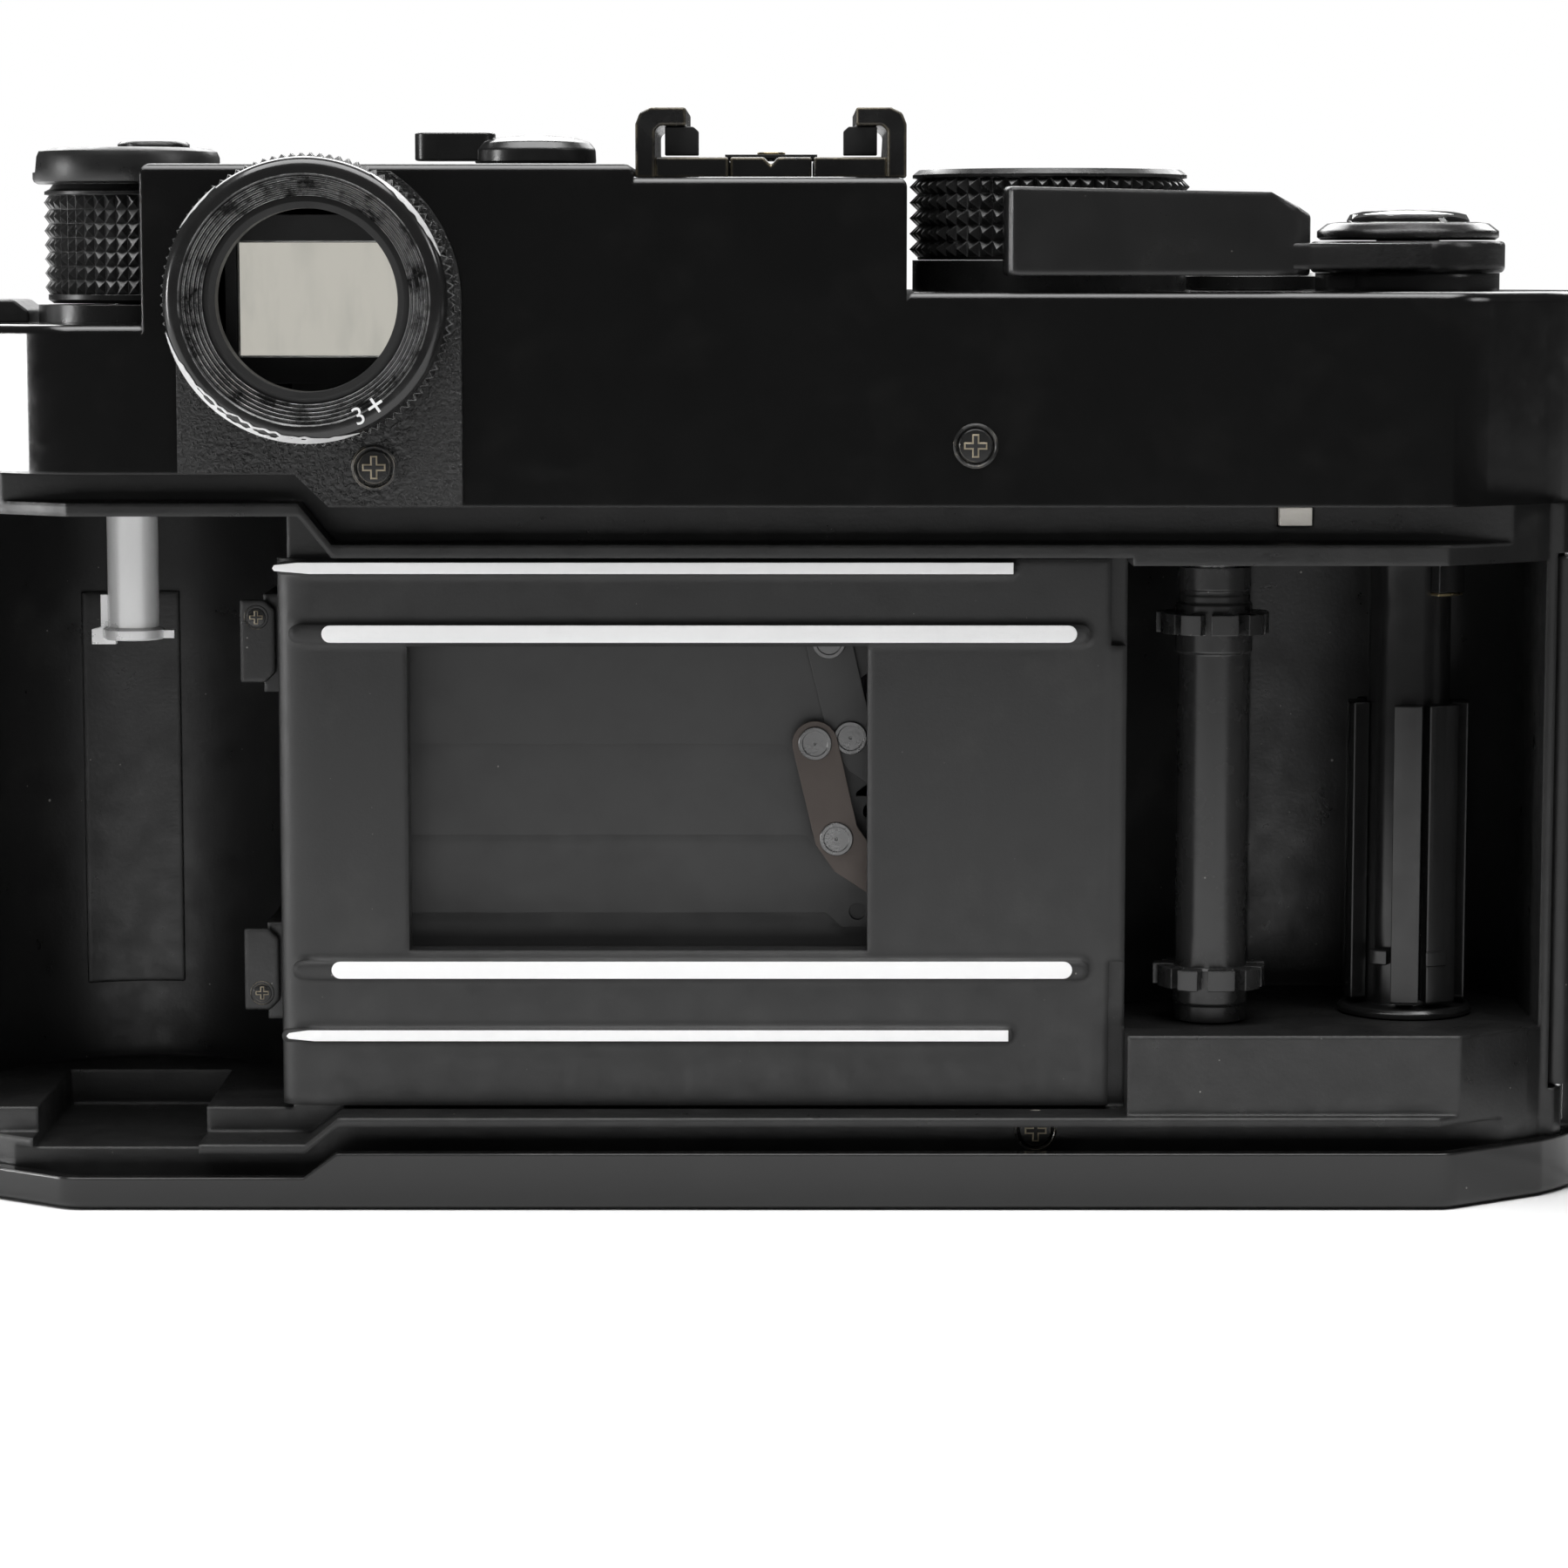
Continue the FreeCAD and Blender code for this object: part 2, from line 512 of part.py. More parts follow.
def body_casting():
    """The die casting: two film chambers, the shutter bay and the light trap ribs."""
    neck = s.cover_wall + s.fit
    band = prism("casting_band", "XY", [plan(s.skin)], s.base_edge, s.top_edge)
    low_neck = prism("casting_low_neck", "XY", [plan(neck)], neck, s.base_edge)
    high_neck = prism("casting_high_neck", "XY", [plan(neck)], s.top_edge, s.top_edge_latch)
    block = fuse("casting_block", band, low_neck, high_neck)

    door_room = s.door_wall + s.gap
    ring_room = box("casting_rear_box", RIGHT, LEFT, s.door_front, REAR, BOTTOM, TOP)
    kept = prism("casting_rear_kept", "XY", [plan(door_room)], BOTTOM - PAST, TOP + PAST)
    door_ring = cut("casting_door_ring", ring_room, kept)

    plate_seat = s.film_plane - s.rail_proud - s.plate_thick
    low_line = latch_line(s.rib_low + s.rib_low_thick, s.latch_rib_low + s.rib_low_thick)
    high_line = latch_line(s.rib_high, s.latch_rib_high)
    left_only = low_line[1:] + list(reversed(high_line[1:]))
    plate_room = box("casting_plate_room", -(s.plate_right + s.gap), s.latch_step, plate_seat, REAR,
                     s.rib_low + s.rib_low_thick, s.rib_high)
    latch_room = prism("casting_latch_room", "XZ", [left_only], plate_seat, as_size(REAR))

    trap_low = latch_line(s.rib_low, s.latch_rib_low)
    trap_low = [(LEFT, BOTTOM), (RIGHT, BOTTOM)] + trap_low
    trap_high = latch_line(s.rib_high + s.rib_high_thick, s.latch_rib_high + s.rib_high_thick)
    trap_high = trap_high + [(LEFT, TOP), (RIGHT, TOP)]
    low_groove = prism("casting_low_groove", "XZ", [trap_low], s.groove_floor, as_size(REAR))
    high_groove = prism("casting_high_groove", "XZ", [trap_high], s.groove_floor, as_size(REAR))

    chamber = cylinder("casting_chamber", s.chamber_radius, s.chamber_ceiling - s.chamber_floor,
                       s.chamber_x, s.chamber_y, s.chamber_floor)
    chamber_mouth = box("casting_chamber_mouth", s.chamber_x - s.chamber_radius,
                        s.chamber_x + s.chamber_radius, s.chamber_y, REAR, s.chamber_floor, s.chamber_ceiling)
    notch = box("casting_key_notch", s.chamber_x - s.key_notch / 2, s.chamber_x + s.key_notch / 2,
                s.chamber_y - s.key_notch / 2, REAR, s.chamber_floor - s.key_notch_depth, s.chamber_floor)

    bay_side = -(s.plate_right + s.gap)
    takeup = [
        (bay_side, REAR),
        (-s.takeup_wall, REAR),
        (-s.takeup_wall, s.takeup_corner - s.takeup_front, s.takeup_corner),
        (s.takeup_corner - s.takeup_wall, -s.takeup_front),
        (s.sprocket_x - s.sprocket_tip, -s.takeup_front),
        (bay_side, s.sprocket_y - s.sprocket_tip * 1.5),
    ]
    takeup_room = prism("casting_takeup", "XY", [takeup], s.takeup_floor, s.takeup_ceiling)
    sill = box("casting_takeup_sill", RIGHT, bay_side, s.rear_depth - s.door_wall - s.lip_depth / 2, REAR,
               s.rib_low + s.rib_low_thick, s.takeup_floor)

    bay = box("casting_bay", -s.bay_right, s.bay_left, FRONT, s.bay_rear, s.bay_low, s.bay_high)
    lap = s.front_plate_lap
    plate_step = box("casting_front_step", -(s.bay_right + lap), s.bay_left + lap, FRONT,
                     s.front_plate_thick - s.front_depth, s.base_edge, s.top_edge)
    gate = box("casting_gate", -s.gate_width / 2, s.gate_width / 2, 0.0, REAR,
               s.lens_height - s.gate_height / 2, s.lens_height + s.gate_height / 2)

    hinge_room = cylinder("casting_hinge_room", s.knuckle + s.knuckle_gap,
                          s.knuckle_high - s.knuckle_low + 2 * s.knuckle_gap,
                          s.hinge_x, s.hinge_y, s.knuckle_low - s.knuckle_gap)
    hinge_side = box("casting_hinge_side", RIGHT, s.hinge_relief_x, s.hinge_y - s.hinge_relief, REAR,
                     s.base_edge, s.top_edge)
    bridge_side = box("casting_bridge_side", RIGHT, s.hinge_x + s.bridge_reach + s.gap,
                      s.hinge_y + s.bridge_reach, s.door_front + s.fit, s.knuckle_low - s.knuckle_gap,
                      s.knuckle_high + s.knuckle_gap)
    pin_hole = cylinder("casting_pin_hole", s.hinge_pin, s.top_edge, s.hinge_x, s.hinge_y, s.base_edge)
    shaft_hole = cylinder("casting_shaft_hole", s.sleeve + s.fit, THROUGH, s.rewind_x, s.rewind_y,
                          s.chamber_ceiling - PAST)
    spool_hole = cylinder("casting_spool_hole", s.spool_shaft + s.fit, THROUGH, s.spool_x, s.spool_y,
                          s.takeup_ceiling - PAST)
    sprocket_hole = cylinder("casting_sprocket_hole", s.spool_shaft + s.fit, THROUGH, s.sprocket_x,
                             s.sprocket_y, s.takeup_ceiling - PAST)
    button_hole = cylinder("casting_button_hole", s.rewind_button + s.fit, s.socket_depth, s.rewind_button_x,
                           0.0, 0.0)
    socket_hole = cylinder("casting_socket_hole", s.socket_outer, s.socket_depth, 0.0, 0.0, 0.0)
    pivots = []
    for number, shift in enumerate((0, 1)):
        x, z = s.arm_x + shift * s.arm_shift_x, s.arm_z + shift * s.arm_shift_z
        pivots.append(cylinder("casting_pivot_%d" % number, s.pivot_post + s.pin_fit,
                               s.pivot_depth + s.fit + PAST, x, s.bay_rear - PAST, z, TO_REAR))
    tab_hole = box("casting_tab_hole", s.tab_left - s.fit, s.tab_right + s.fit,
                   s.tab_front - s.tab_stroke - s.fit, REAR, s.tab_low - s.fit, s.tab_high + s.fit)

    casting = cut("body_casting", block, door_ring, plate_room, latch_room, low_groove, high_groove,
                  chamber, chamber_mouth, notch, takeup_room, sill, bay, plate_step, gate, hinge_room,
                  hinge_side, bridge_side, pin_hole, shaft_hole, spool_hole, sprocket_hole, button_hole,
                  socket_hole, tab_hole, *pivots)
    finished(casting)


def film_gate_plate():
    """The machined plate round the picture opening, with its two pairs of film rails."""
    rear = s.film_plane - s.rail_proud
    seat = rear - s.plate_thick
    mid, half = s.lens_height, s.gate_height / 2
    key = s.plate_right - s.plate_key
    edge = [
        (s.plate_left, s.plate_low), (s.plate_left, s.plate_high), (-key, s.plate_high),
        (-key, s.plate_key_high), (-s.plate_right, s.plate_key_high),
        (-s.plate_right, s.plate_key_low), (-key, s.plate_key_low), (-key, s.plate_low),
    ]
    gate = rectangle(-s.gate_width / 2, s.gate_width / 2, mid - half, mid + half)
    plate = slab("film_gate_plate", "XZ", [edge, gate], seat, rear)
    inner, outer = half + s.inner_rail_gap, half + s.outer_rail_gap
    for side in (1, -1):
        near, far = mid + side * inner, mid + side * (inner + s.inner_rail)
        pad(plate, "XZ", [rectangle(-s.inner_rail_right, s.inner_rail_left, near, far)], rear, s.film_plane)
    for side in (1, -1):
        near, far = mid + side * outer, mid + side * (outer + s.outer_rail)
        rail = rectangle(-s.outer_rail_right, s.outer_rail_left, near, far)
        pad(plate, "XZ", [rail], rear, s.film_plane + s.outer_proud)
    finished(plate)


def base_cover():
    """The pressed base: a shallow tray, cut lower along the back where the door is taller."""
    blank = body_prism("base_blank", 0.0, 0.0, s.base_edge)
    outside = rounded("base_outside", blank, s.edge_round, lambda edge: edge.BoundBox.ZMax < 0.01)
    over = s.base_edge + PAST
    inside = prism("base_inside", "XY", [plan(s.cover_wall)], s.cover_wall, over)
    line = latch_line(s.base_edge, s.base_edge_latch)[1:]
    step = prism("base_step", "XZ", [line + [(LEFT, over), (s.latch_step, over)]], s.door_front, as_size(REAR))
    socket = cylinder("base_socket_hole", s.socket_outer, THROUGH, 0.0, 0.0, -PAST)
    battery = cylinder("base_battery_hole", s.battery_radius + s.gap, THROUGH, s.battery_x, 0.0, -PAST)
    button = cylinder("base_button_hole", s.rewind_button + s.fit, THROUGH, s.rewind_button_x, 0.0, -PAST)
    finished(cut("base_cover", outside, inside, step, socket, battery, button))


def cover_blocks(name, inset, softness):
    """The top cover as four blocks side by side: a deck at each end, the hump and the shoe's seat."""
    spans = [
        ("deck", RIGHT, LEFT, s.left_deck),
        ("lever_deck", RIGHT, inset - s.hump_right, s.right_deck),
        ("seat", inset - s.hump_right, s.seat_overlap + inset, s.shoe_seat),
        ("hump", inset, s.hump_left - inset, s.hump_top),
    ]
    blocks = []
    for part, left, right, top in spans:
        label = "%s_%s" % (name, part)
        full = body_prism(label + "_plan", inset, s.top_edge - inset, TOP, softness)
        room = box(label + "_room", left, right, FRONT, REAR, BOTTOM, top - inset)
        blocks.append((common(label, full, room), as_size(top - inset).value))
    return blocks


def top_cover():
    """The top shell, open below, with holes for its controls and windows."""
    shells = []
    for block, top in cover_blocks("top", 0.0, s.cover_kink_round):

        def top_rim(edge):
            level = edge.BoundBox.ZLength < 0.01 and abs(edge.BoundBox.ZMax - top) < 0.01
            across = edge.BoundBox.XLength < 0.01
            return level and not (across and abs(edge.BoundBox.XMax - s.seat_overlap.value) < 0.01)

        shells.append(rounded(block.Label + "_round", block, s.edge_round, top_rim))
    outside = fuse("top_outside", *shells)
    hollows = [block for block, top in cover_blocks("top_hollow", s.cover_wall, s.kink_round)]
    hollow = fuse("top_hollow", *hollows)
    well = cylinder("top_knob_well", s.knob_cap + s.knob_room, s.hump_top, s.rewind_x, s.rewind_y, s.left_deck)
    well_wall = cylinder("top_knob_well_wall", s.knob_cap + s.knob_room + s.cover_wall, s.hump_top,
                         s.rewind_x, s.rewind_y, s.left_deck - s.cover_wall)
    inside = cut("top_inside", hollow, well_wall)
    line = latch_line(s.top_edge, s.top_edge_latch)[1:]
    under = s.top_edge - PAST
    step = prism("top_step", "XZ", [line + [(LEFT, under), (s.latch_step, under)]], s.door_front, as_size(REAR))

    eye = cylinder("top_eye_hole", s.eye_bore + s.fit, REAR, s.eye_x, 0.0, s.eye_z, TO_REAR)
    finder = box("top_finder_hole", s.eye_x - s.finder_window_width / 2, s.eye_x + s.finder_window_width / 2,
                 FRONT, 0.0, s.eye_z - s.finder_window / 2, s.eye_z + s.finder_window / 2)
    ranging = box("top_range_hole", s.range_window_x - s.range_window, s.range_window_x + s.range_window,
                  FRONT, 0.0, s.eye_z - s.range_window / 2, s.eye_z + s.range_window / 2)
    shafts = [("rewind", s.sleeve + s.fit, s.rewind_x, s.rewind_y),
              ("release", s.release_button + s.fit, s.release_x, s.release_y)]
    low = s.left_deck - THROUGH / 2
    holes = [cylinder("top_%s_hole" % name, radius, THROUGH, x, y, low) for name, radius, x, y in shafts]
    finished(cut("top_cover", outside, inside, well, step, eye, finder, ranging, *holes))


def leatherettes():
    """The grained skin on the front, wrapped round both ends up to the door."""
    lap = s.front_plate_lap + s.gap
    sides = {"leatherette_left": (s.bay_left + lap, LEFT), "leatherette_right": (RIGHT, -(s.bay_right + lap))}
    low, high = s.base_edge + s.gap, s.top_edge - s.gap
    for label, (left, right) in sides.items():
        outside = prism(label + "_outside", "XY", [plan(as_size(0.0))], low, high)
        inside = prism(label + "_inside", "XY", [plan(s.skin)], low - PAST, high + PAST)
        shell = cut(label + "_shell", outside, inside)
        rear = s.door_front if label.endswith("left") else s.hinge_y - s.hinge_relief
        room = box(label + "_room", left, right, FRONT, rear - s.gap, BOTTOM, TOP)
        finished(common(label, shell, room))


def front_plate():
    """The plate that closes the shutter bay and carries the lens mount."""
    lap = s.front_plate_lap
    edge = rectangle(-(s.bay_right + lap), s.bay_left + lap, s.base_edge + s.gap, s.top_edge - s.gap)
    hole = (0.0, s.lens_height, s.mount_sleeve + s.fit)
    plate = slab("front_plate", "XZ", [edge, hole], -s.front_depth, s.front_plate_thick - s.front_depth)
    mount = turned("lens_mount_ring", [
        (s.mount_bore, -s.front_plate_thick), (s.mount_sleeve, -s.front_plate_thick), (s.mount_sleeve, 0.0),
        (s.mount_radius, 0.0), (s.mount_radius, s.mount_proud), (s.mount_bore, s.mount_proud),
    ], 0.0, -s.front_depth, s.lens_height, TO_FRONT)
    finished(plate, mount)


# ---------------------------------------------------------------- the shutter

# Where each blade hangs on the main arm, from the arm's pivot, and the blade's lower edge and height.
BLADES = [
    (17.1, 17.2, 35.6, 8.8),
    (15.4, 9.6, 28.3, 9.6),
    (13.7, 3.6, 22.0, 9.2),
    (12.0, -2.4, 17.6, 7.0),
]


def shutter():
    """A frame, two sickle arms and four blades that hang on both arms and stay level."""
    front = s.shutter_frame_front
    lap = s.shutter_frame_lap
    mid, half = s.lens_height, s.gate_height / 2
    edge = rectangle(-s.bay_right + s.gap, s.bay_left - s.gap, s.socket_depth + s.gap, s.bay_high - s.gap)
    window = rectangle(-s.gate_width / 2 - lap, s.gate_width / 2 + lap, mid - half - lap, mid + half + lap)
    frame = slab("shutter_frame", "XZ", [edge, window], front, front + s.shutter_frame_thick)
    finished(frame)
    second_rear = s.blade_rear + s.gap + s.arm_thick
    arms = {
        "shutter_arm_main": (s.arm_x, s.arm_z, second_rear + s.arm_step),
        "shutter_arm_second": (s.arm_x + s.arm_shift_x, s.arm_z + s.arm_shift_z, second_rear),
    }
    wide = s.arm_half
    for label, (x, z, arm_rear) in arms.items():
        strip = [
            (x, z + wide), (x, z - wide),
            (x + BLADES[3][0] - wide, z + BLADES[3][1] - wide),
            (x + BLADES[3][0] + wide, z + BLADES[3][1] - wide / 2),
            (x + BLADES[2][0] + wide, z + BLADES[2][1]),
            (x + BLADES[1][0] + wide, z + BLADES[1][1]),
            (x + BLADES[0][0] + wide, z + BLADES[0][1]),
            (x + BLADES[0][0], z + BLADES[0][1] + wide),
            (x + BLADES[0][0] - wide, z + BLADES[0][1]),
            (x + BLADES[1][0] - wide, z + BLADES[1][1]),
            (x + BLADES[2][0] - wide, z + BLADES[2][1]),
            (x + BLADES[3][0] - wide, z + BLADES[3][1] + wide * 2),
        ]
        arm = slab(label, "XZ", [strip], arm_rear - s.arm_thick, arm_rear)
        pins = [(x + across, z + up, s.pin) for across, up, low, height in BLADES]
        heads = [(x + across, z + up, s.rivet) for across, up, low, height in BLADES]
        for number, pin in enumerate(pins):
            deep = s.blade_rear - number * s.blade_pitch - s.blade_thick
            pad(arm, "XZ", [pin], deep, arm_rear - s.arm_thick)
        pad(arm, "XZ", heads, arm_rear, arm_rear + s.rivet_proud)
        pad(arm, "XZ", [(x, z, s.pivot_post)], arm_rear, s.bay_rear + s.pivot_depth)
        finished(arm)
    for number, (across, up, low, height) in enumerate(BLADES):
        x, z = s.arm_x + across, s.arm_z + up
        other_x, other_z = x + s.arm_shift_x, z + s.arm_shift_z
        rear = s.blade_rear - number * s.blade_pitch
        lobe = s.rivet + s.gap
        top = as_size(low) + height
        edge = [
            (s.blade_left, low), (x + lobe * 2, low), (x + lobe, z - lobe), (x - s.rivet, z - lobe),
            (x - s.blade_notch, z), (x - s.blade_waist, z + s.blade_shoulder),
            (x - s.blade_end, z + s.blade_crest),
            (x - s.blade_end, z + s.arm_shift_z + lobe),
            (x + lobe, z + s.arm_shift_z + lobe), (x + lobe * 2, top), (s.blade_left, top),
        ]
        hole = s.pin + s.pin_fit
        blade = slab("shutter_blade_%d" % (number + 1), "XZ",
                     [edge, (x, z, hole), (other_x, other_z, hole)], rear - s.blade_thick, rear)
        finished(blade)


# ---------------------------------------------------------------- film transport


def sprocket():
    """The toothed shaft that meters the film: two drums with teeth at the pitch of the perforations."""
    low, high = s.takeup_floor + s.fit, s.takeup_ceiling - s.fit
    z = [s.sprocket_upper - s.film_pitch, s.sprocket_upper]
    half = s.sprocket_rim
    side = half + s.sprocket_collar
    body = turned("sprocket_shaft", stepped(
        (s.sprocket_shaft, low, z[0] - side), (s.sprocket_drum, z[0] - side, z[0] + side),
        (s.sprocket_shaft, z[0] + side, z[1] - side), (s.sprocket_drum, z[1] - side, z[1] + side),
        (s.sprocket_shaft, z[1] + side, high), (s.spool_shaft, high, high + s.shaft_end_length)),
        s.sprocket_x, s.sprocket_y, 0.0)
    wide = s.sprocket_tooth / 2
    root = s.sprocket_drum - s.sprocket_pad
    pad_tip = s.sprocket_drum + s.sprocket_pad
    broad, narrow, tip = wide * 1.6, wide * 0.7, s.sprocket_tip
    tooth = [(root, -broad), (tip, -narrow), (tip, narrow), (root, broad)]
    guide = [(-root, broad), (-pad_tip, broad), (-pad_tip, -broad), (-root, -broad)]
    for level, shape in [(level, shape) for level in z for shape in (tooth, guide)]:
        first = pad(body, "XY", [shape], level - half, level + half)
        doc.recompute()
        ring = body.newObject("PartDesign::PolarPattern", body.Name + "_teeth")
        ring.Originals = [first]
        ring.Axis = ([f for f in body.Origin.OriginFeatures if f.Role == "Z_Axis"][0], [""])
        ring.Angle = 360
        bind(ring, "Occurrences", s.sprocket_teeth)
        body.Tip = ring
    finished(body)


def takeup_spool():
    """The spool that the film is wound onto: a core above, and a slotted barrel with hooks below."""
    low, high = s.takeup_floor + s.fit, s.takeup_ceiling - s.fit
    body = turned("takeup_spool", stepped(
        (s.spool_flange, low, low + s.spool_flange_thick),
        (s.spool_barrel, low + s.spool_flange_thick, s.spool_core_end),
        (s.spool_core, s.spool_core_end, high), (s.spool_shaft, high, high + s.shaft_end_length)),
        s.spool_x, s.spool_y, 0.0)
    slots = []
    for turn in (-1, 0, 1):
        x = turn * (s.spool_barrel - s.spool_slot) * 0.62
        slots.append(rectangle(x - s.spool_slot / 2, x + s.spool_slot / 2, low + s.spool_slot_low,
                               s.spool_core_end + PAST))
    pocket(body, "XZ", slots, 0.0, s.spool_flange)
    finished(body)


def rewind():
    """The rewind shaft with its fork, the knob, and the fold-out crank with its handle."""
    x, y = s.rewind_x, s.rewind_y
    fork = s.shaft_radius + s.shaft_collar
    foot = s.shaft_end - s.shaft_foot
    shaft = turned("rewind_shaft", stepped(
        (s.shaft_radius + s.gap, foot, s.shaft_end), (s.shaft_radius, s.shaft_end, s.knob_low)), x, y, 0.0)
    prong = rectangle(-fork, fork, s.shaft_end - s.fork_depth, foot)
    pad(shaft, "XZ", [prong], -s.fork_thick / 2, s.fork_thick / 2)

    neck = s.knob_body_top + s.shaft_foot
    floor = s.knob_top - s.crank_thick - s.crank_room
    knob = turned("rewind_knob", stepped(
        (s.knob_radius, s.knob_low, s.knob_body_top), (s.knob_radius - s.shaft_foot, s.knob_body_top, neck),
        (s.knob_cap, neck, s.knob_top)), x, y, 0.0)
    wide = s.crank_arm / 2 + s.gap
    pocket(knob, "XY", [rectangle(-s.knob_cap, s.knob_cap, -wide, wide)], floor, s.knob_top + PAST)
    pivot_z = s.knob_top - s.crank_thick / 2
    pin_reach = s.crank_arm / 2 + s.crank_pin_reach
    pin_hole = (s.crank_pivot, pivot_z, s.crank_pin + s.fit / 2)
    pocket(knob, "XZ", [pin_hole], -pin_reach - s.fit, pin_reach + s.fit)

    sleeve = turned("rewind_sleeve", stepped(
        (s.sleeve, s.chamber_ceiling + s.sleeve_low, s.knob_low - s.fit), bore=s.shaft_radius + s.fit / 2),
        x, y, 0.0)
    collar = turned("rewind_collar", stepped(
        (s.knob_cap - s.cover_wall / 4, s.left_deck, s.knob_low - s.fit), bore=s.sleeve + s.fit), x, y, 0.0)

    half = s.crank_arm / 2
    end = s.crank_pivot + s.crank_tail
    tip = s.crank_tip - s.crank_pivot
    edge = [(end, -half), (end, half), (tip - half, half, half * 1.3), (tip - half, -half)]
    handle_hole = (-s.crank_handle_x, 0.0, s.handle_pin + s.fit / 2)
    arm = slab("rewind_crank", "XY", [edge, handle_hole], s.knob_top - s.crank_thick, s.knob_top)
    pad(arm, "XZ", [(s.crank_pivot, pivot_z, s.crank_pin)], -pin_reach, pin_reach)
    place(arm, x, y, 0.0)
    handle = turned("crank_handle", stepped(
        (s.handle_pin, s.fit - s.crank_thick, s.fit), (s.crank_handle, s.fit, s.handle_thick + s.fit)),
        x - s.crank_handle_x, y, s.knob_top)
    finished(shaft, knob, sleeve, collar, arm, handle)


def cartridge_pads():
    """Two pads in the corner of the cartridge chamber that steady the cartridge."""
    pads = []
    near = s.chamber_x - s.chamber_radius
    for number, level in enumerate((s.pad_low_z, s.pad_high_z)):
        low, high = level - s.pad_height / 2, level + s.pad_height / 2
        block = box("pad_block_%d" % number, near, near + s.pad_width, s.chamber_y - s.chamber_radius,
                    s.pad_rear, low, high)
        round_wall = cylinder("pad_wall_%d" % number, s.chamber_radius, high - low, s.chamber_x,
                              s.chamber_y, low)
        mouth = box("pad_mouth_%d" % number, near, near + s.pad_width, s.chamber_y, s.pad_rear, low, high)
        pads += [common("pad_back_%d" % number, block, round_wall), mouth]
    finished(fuse("cartridge_pads", *pads))


# ---------------------------------------------------------------- lens


def lens():
    """A compact lens: a fixed barrel, an aperture ring, a focusing ring, a nose and two glasses."""
    face = -(s.front_depth + s.mount_proud)
    first = s.barrel_length
    second = first + s.aperture_length
    third = second + s.focus_length
    gap = s.ring_gap
    mid = s.lens_height
    barrel = turned("lens_barrel", stepped(
        (s.barrel_tail, -s.tail_length, 0.0), (s.barrel_radius, 0.0, first), (s.sleeve_radius, first, third),
        bore=s.lens_bore), 0.0, face, mid, TO_FRONT)
    aperture = turned("aperture_ring", stepped((s.aperture_radius, first + gap, second),
                      bore=s.sleeve_radius + s.fit), 0.0, face, mid, TO_FRONT)
    focus = turned("focus_ring", stepped((s.focus_radius, second + gap, third - gap),
                   bore=s.sleeve_radius + s.fit), 0.0, face, mid, TO_FRONT)
    top = third + s.nose_length
    nose = turned("lens_nose", [
        (s.lens_bore, third), (s.nose_radius, third), (s.nose_radius, top), (s.filter_bore, top),
        (s.filter_bore, top - s.filter_depth), (s.lens_bore, top - s.filter_depth)], 0.0, face, mid, TO_FRONT)
    front = turned("front_glass", stepped((s.lens_bore - s.glass_fit, third - s.front_glass_thick, third)),
                   0.0, face, mid, TO_FRONT)
    rear = turned("rear_glass", stepped(
        (s.lens_bore - s.glass_fit, -s.tail_length, s.rear_glass_thick - s.tail_length)),
        0.0, face, mid, TO_FRONT)
    finished(barrel, aperture, focus, nose, grouped("lens_glass", front, rear))


# ---------------------------------------------------------------- finder and top controls


# How far round the ring the eyepiece plate's rounded corner reaches, in degrees above level.
EYE_BROW = 57.5


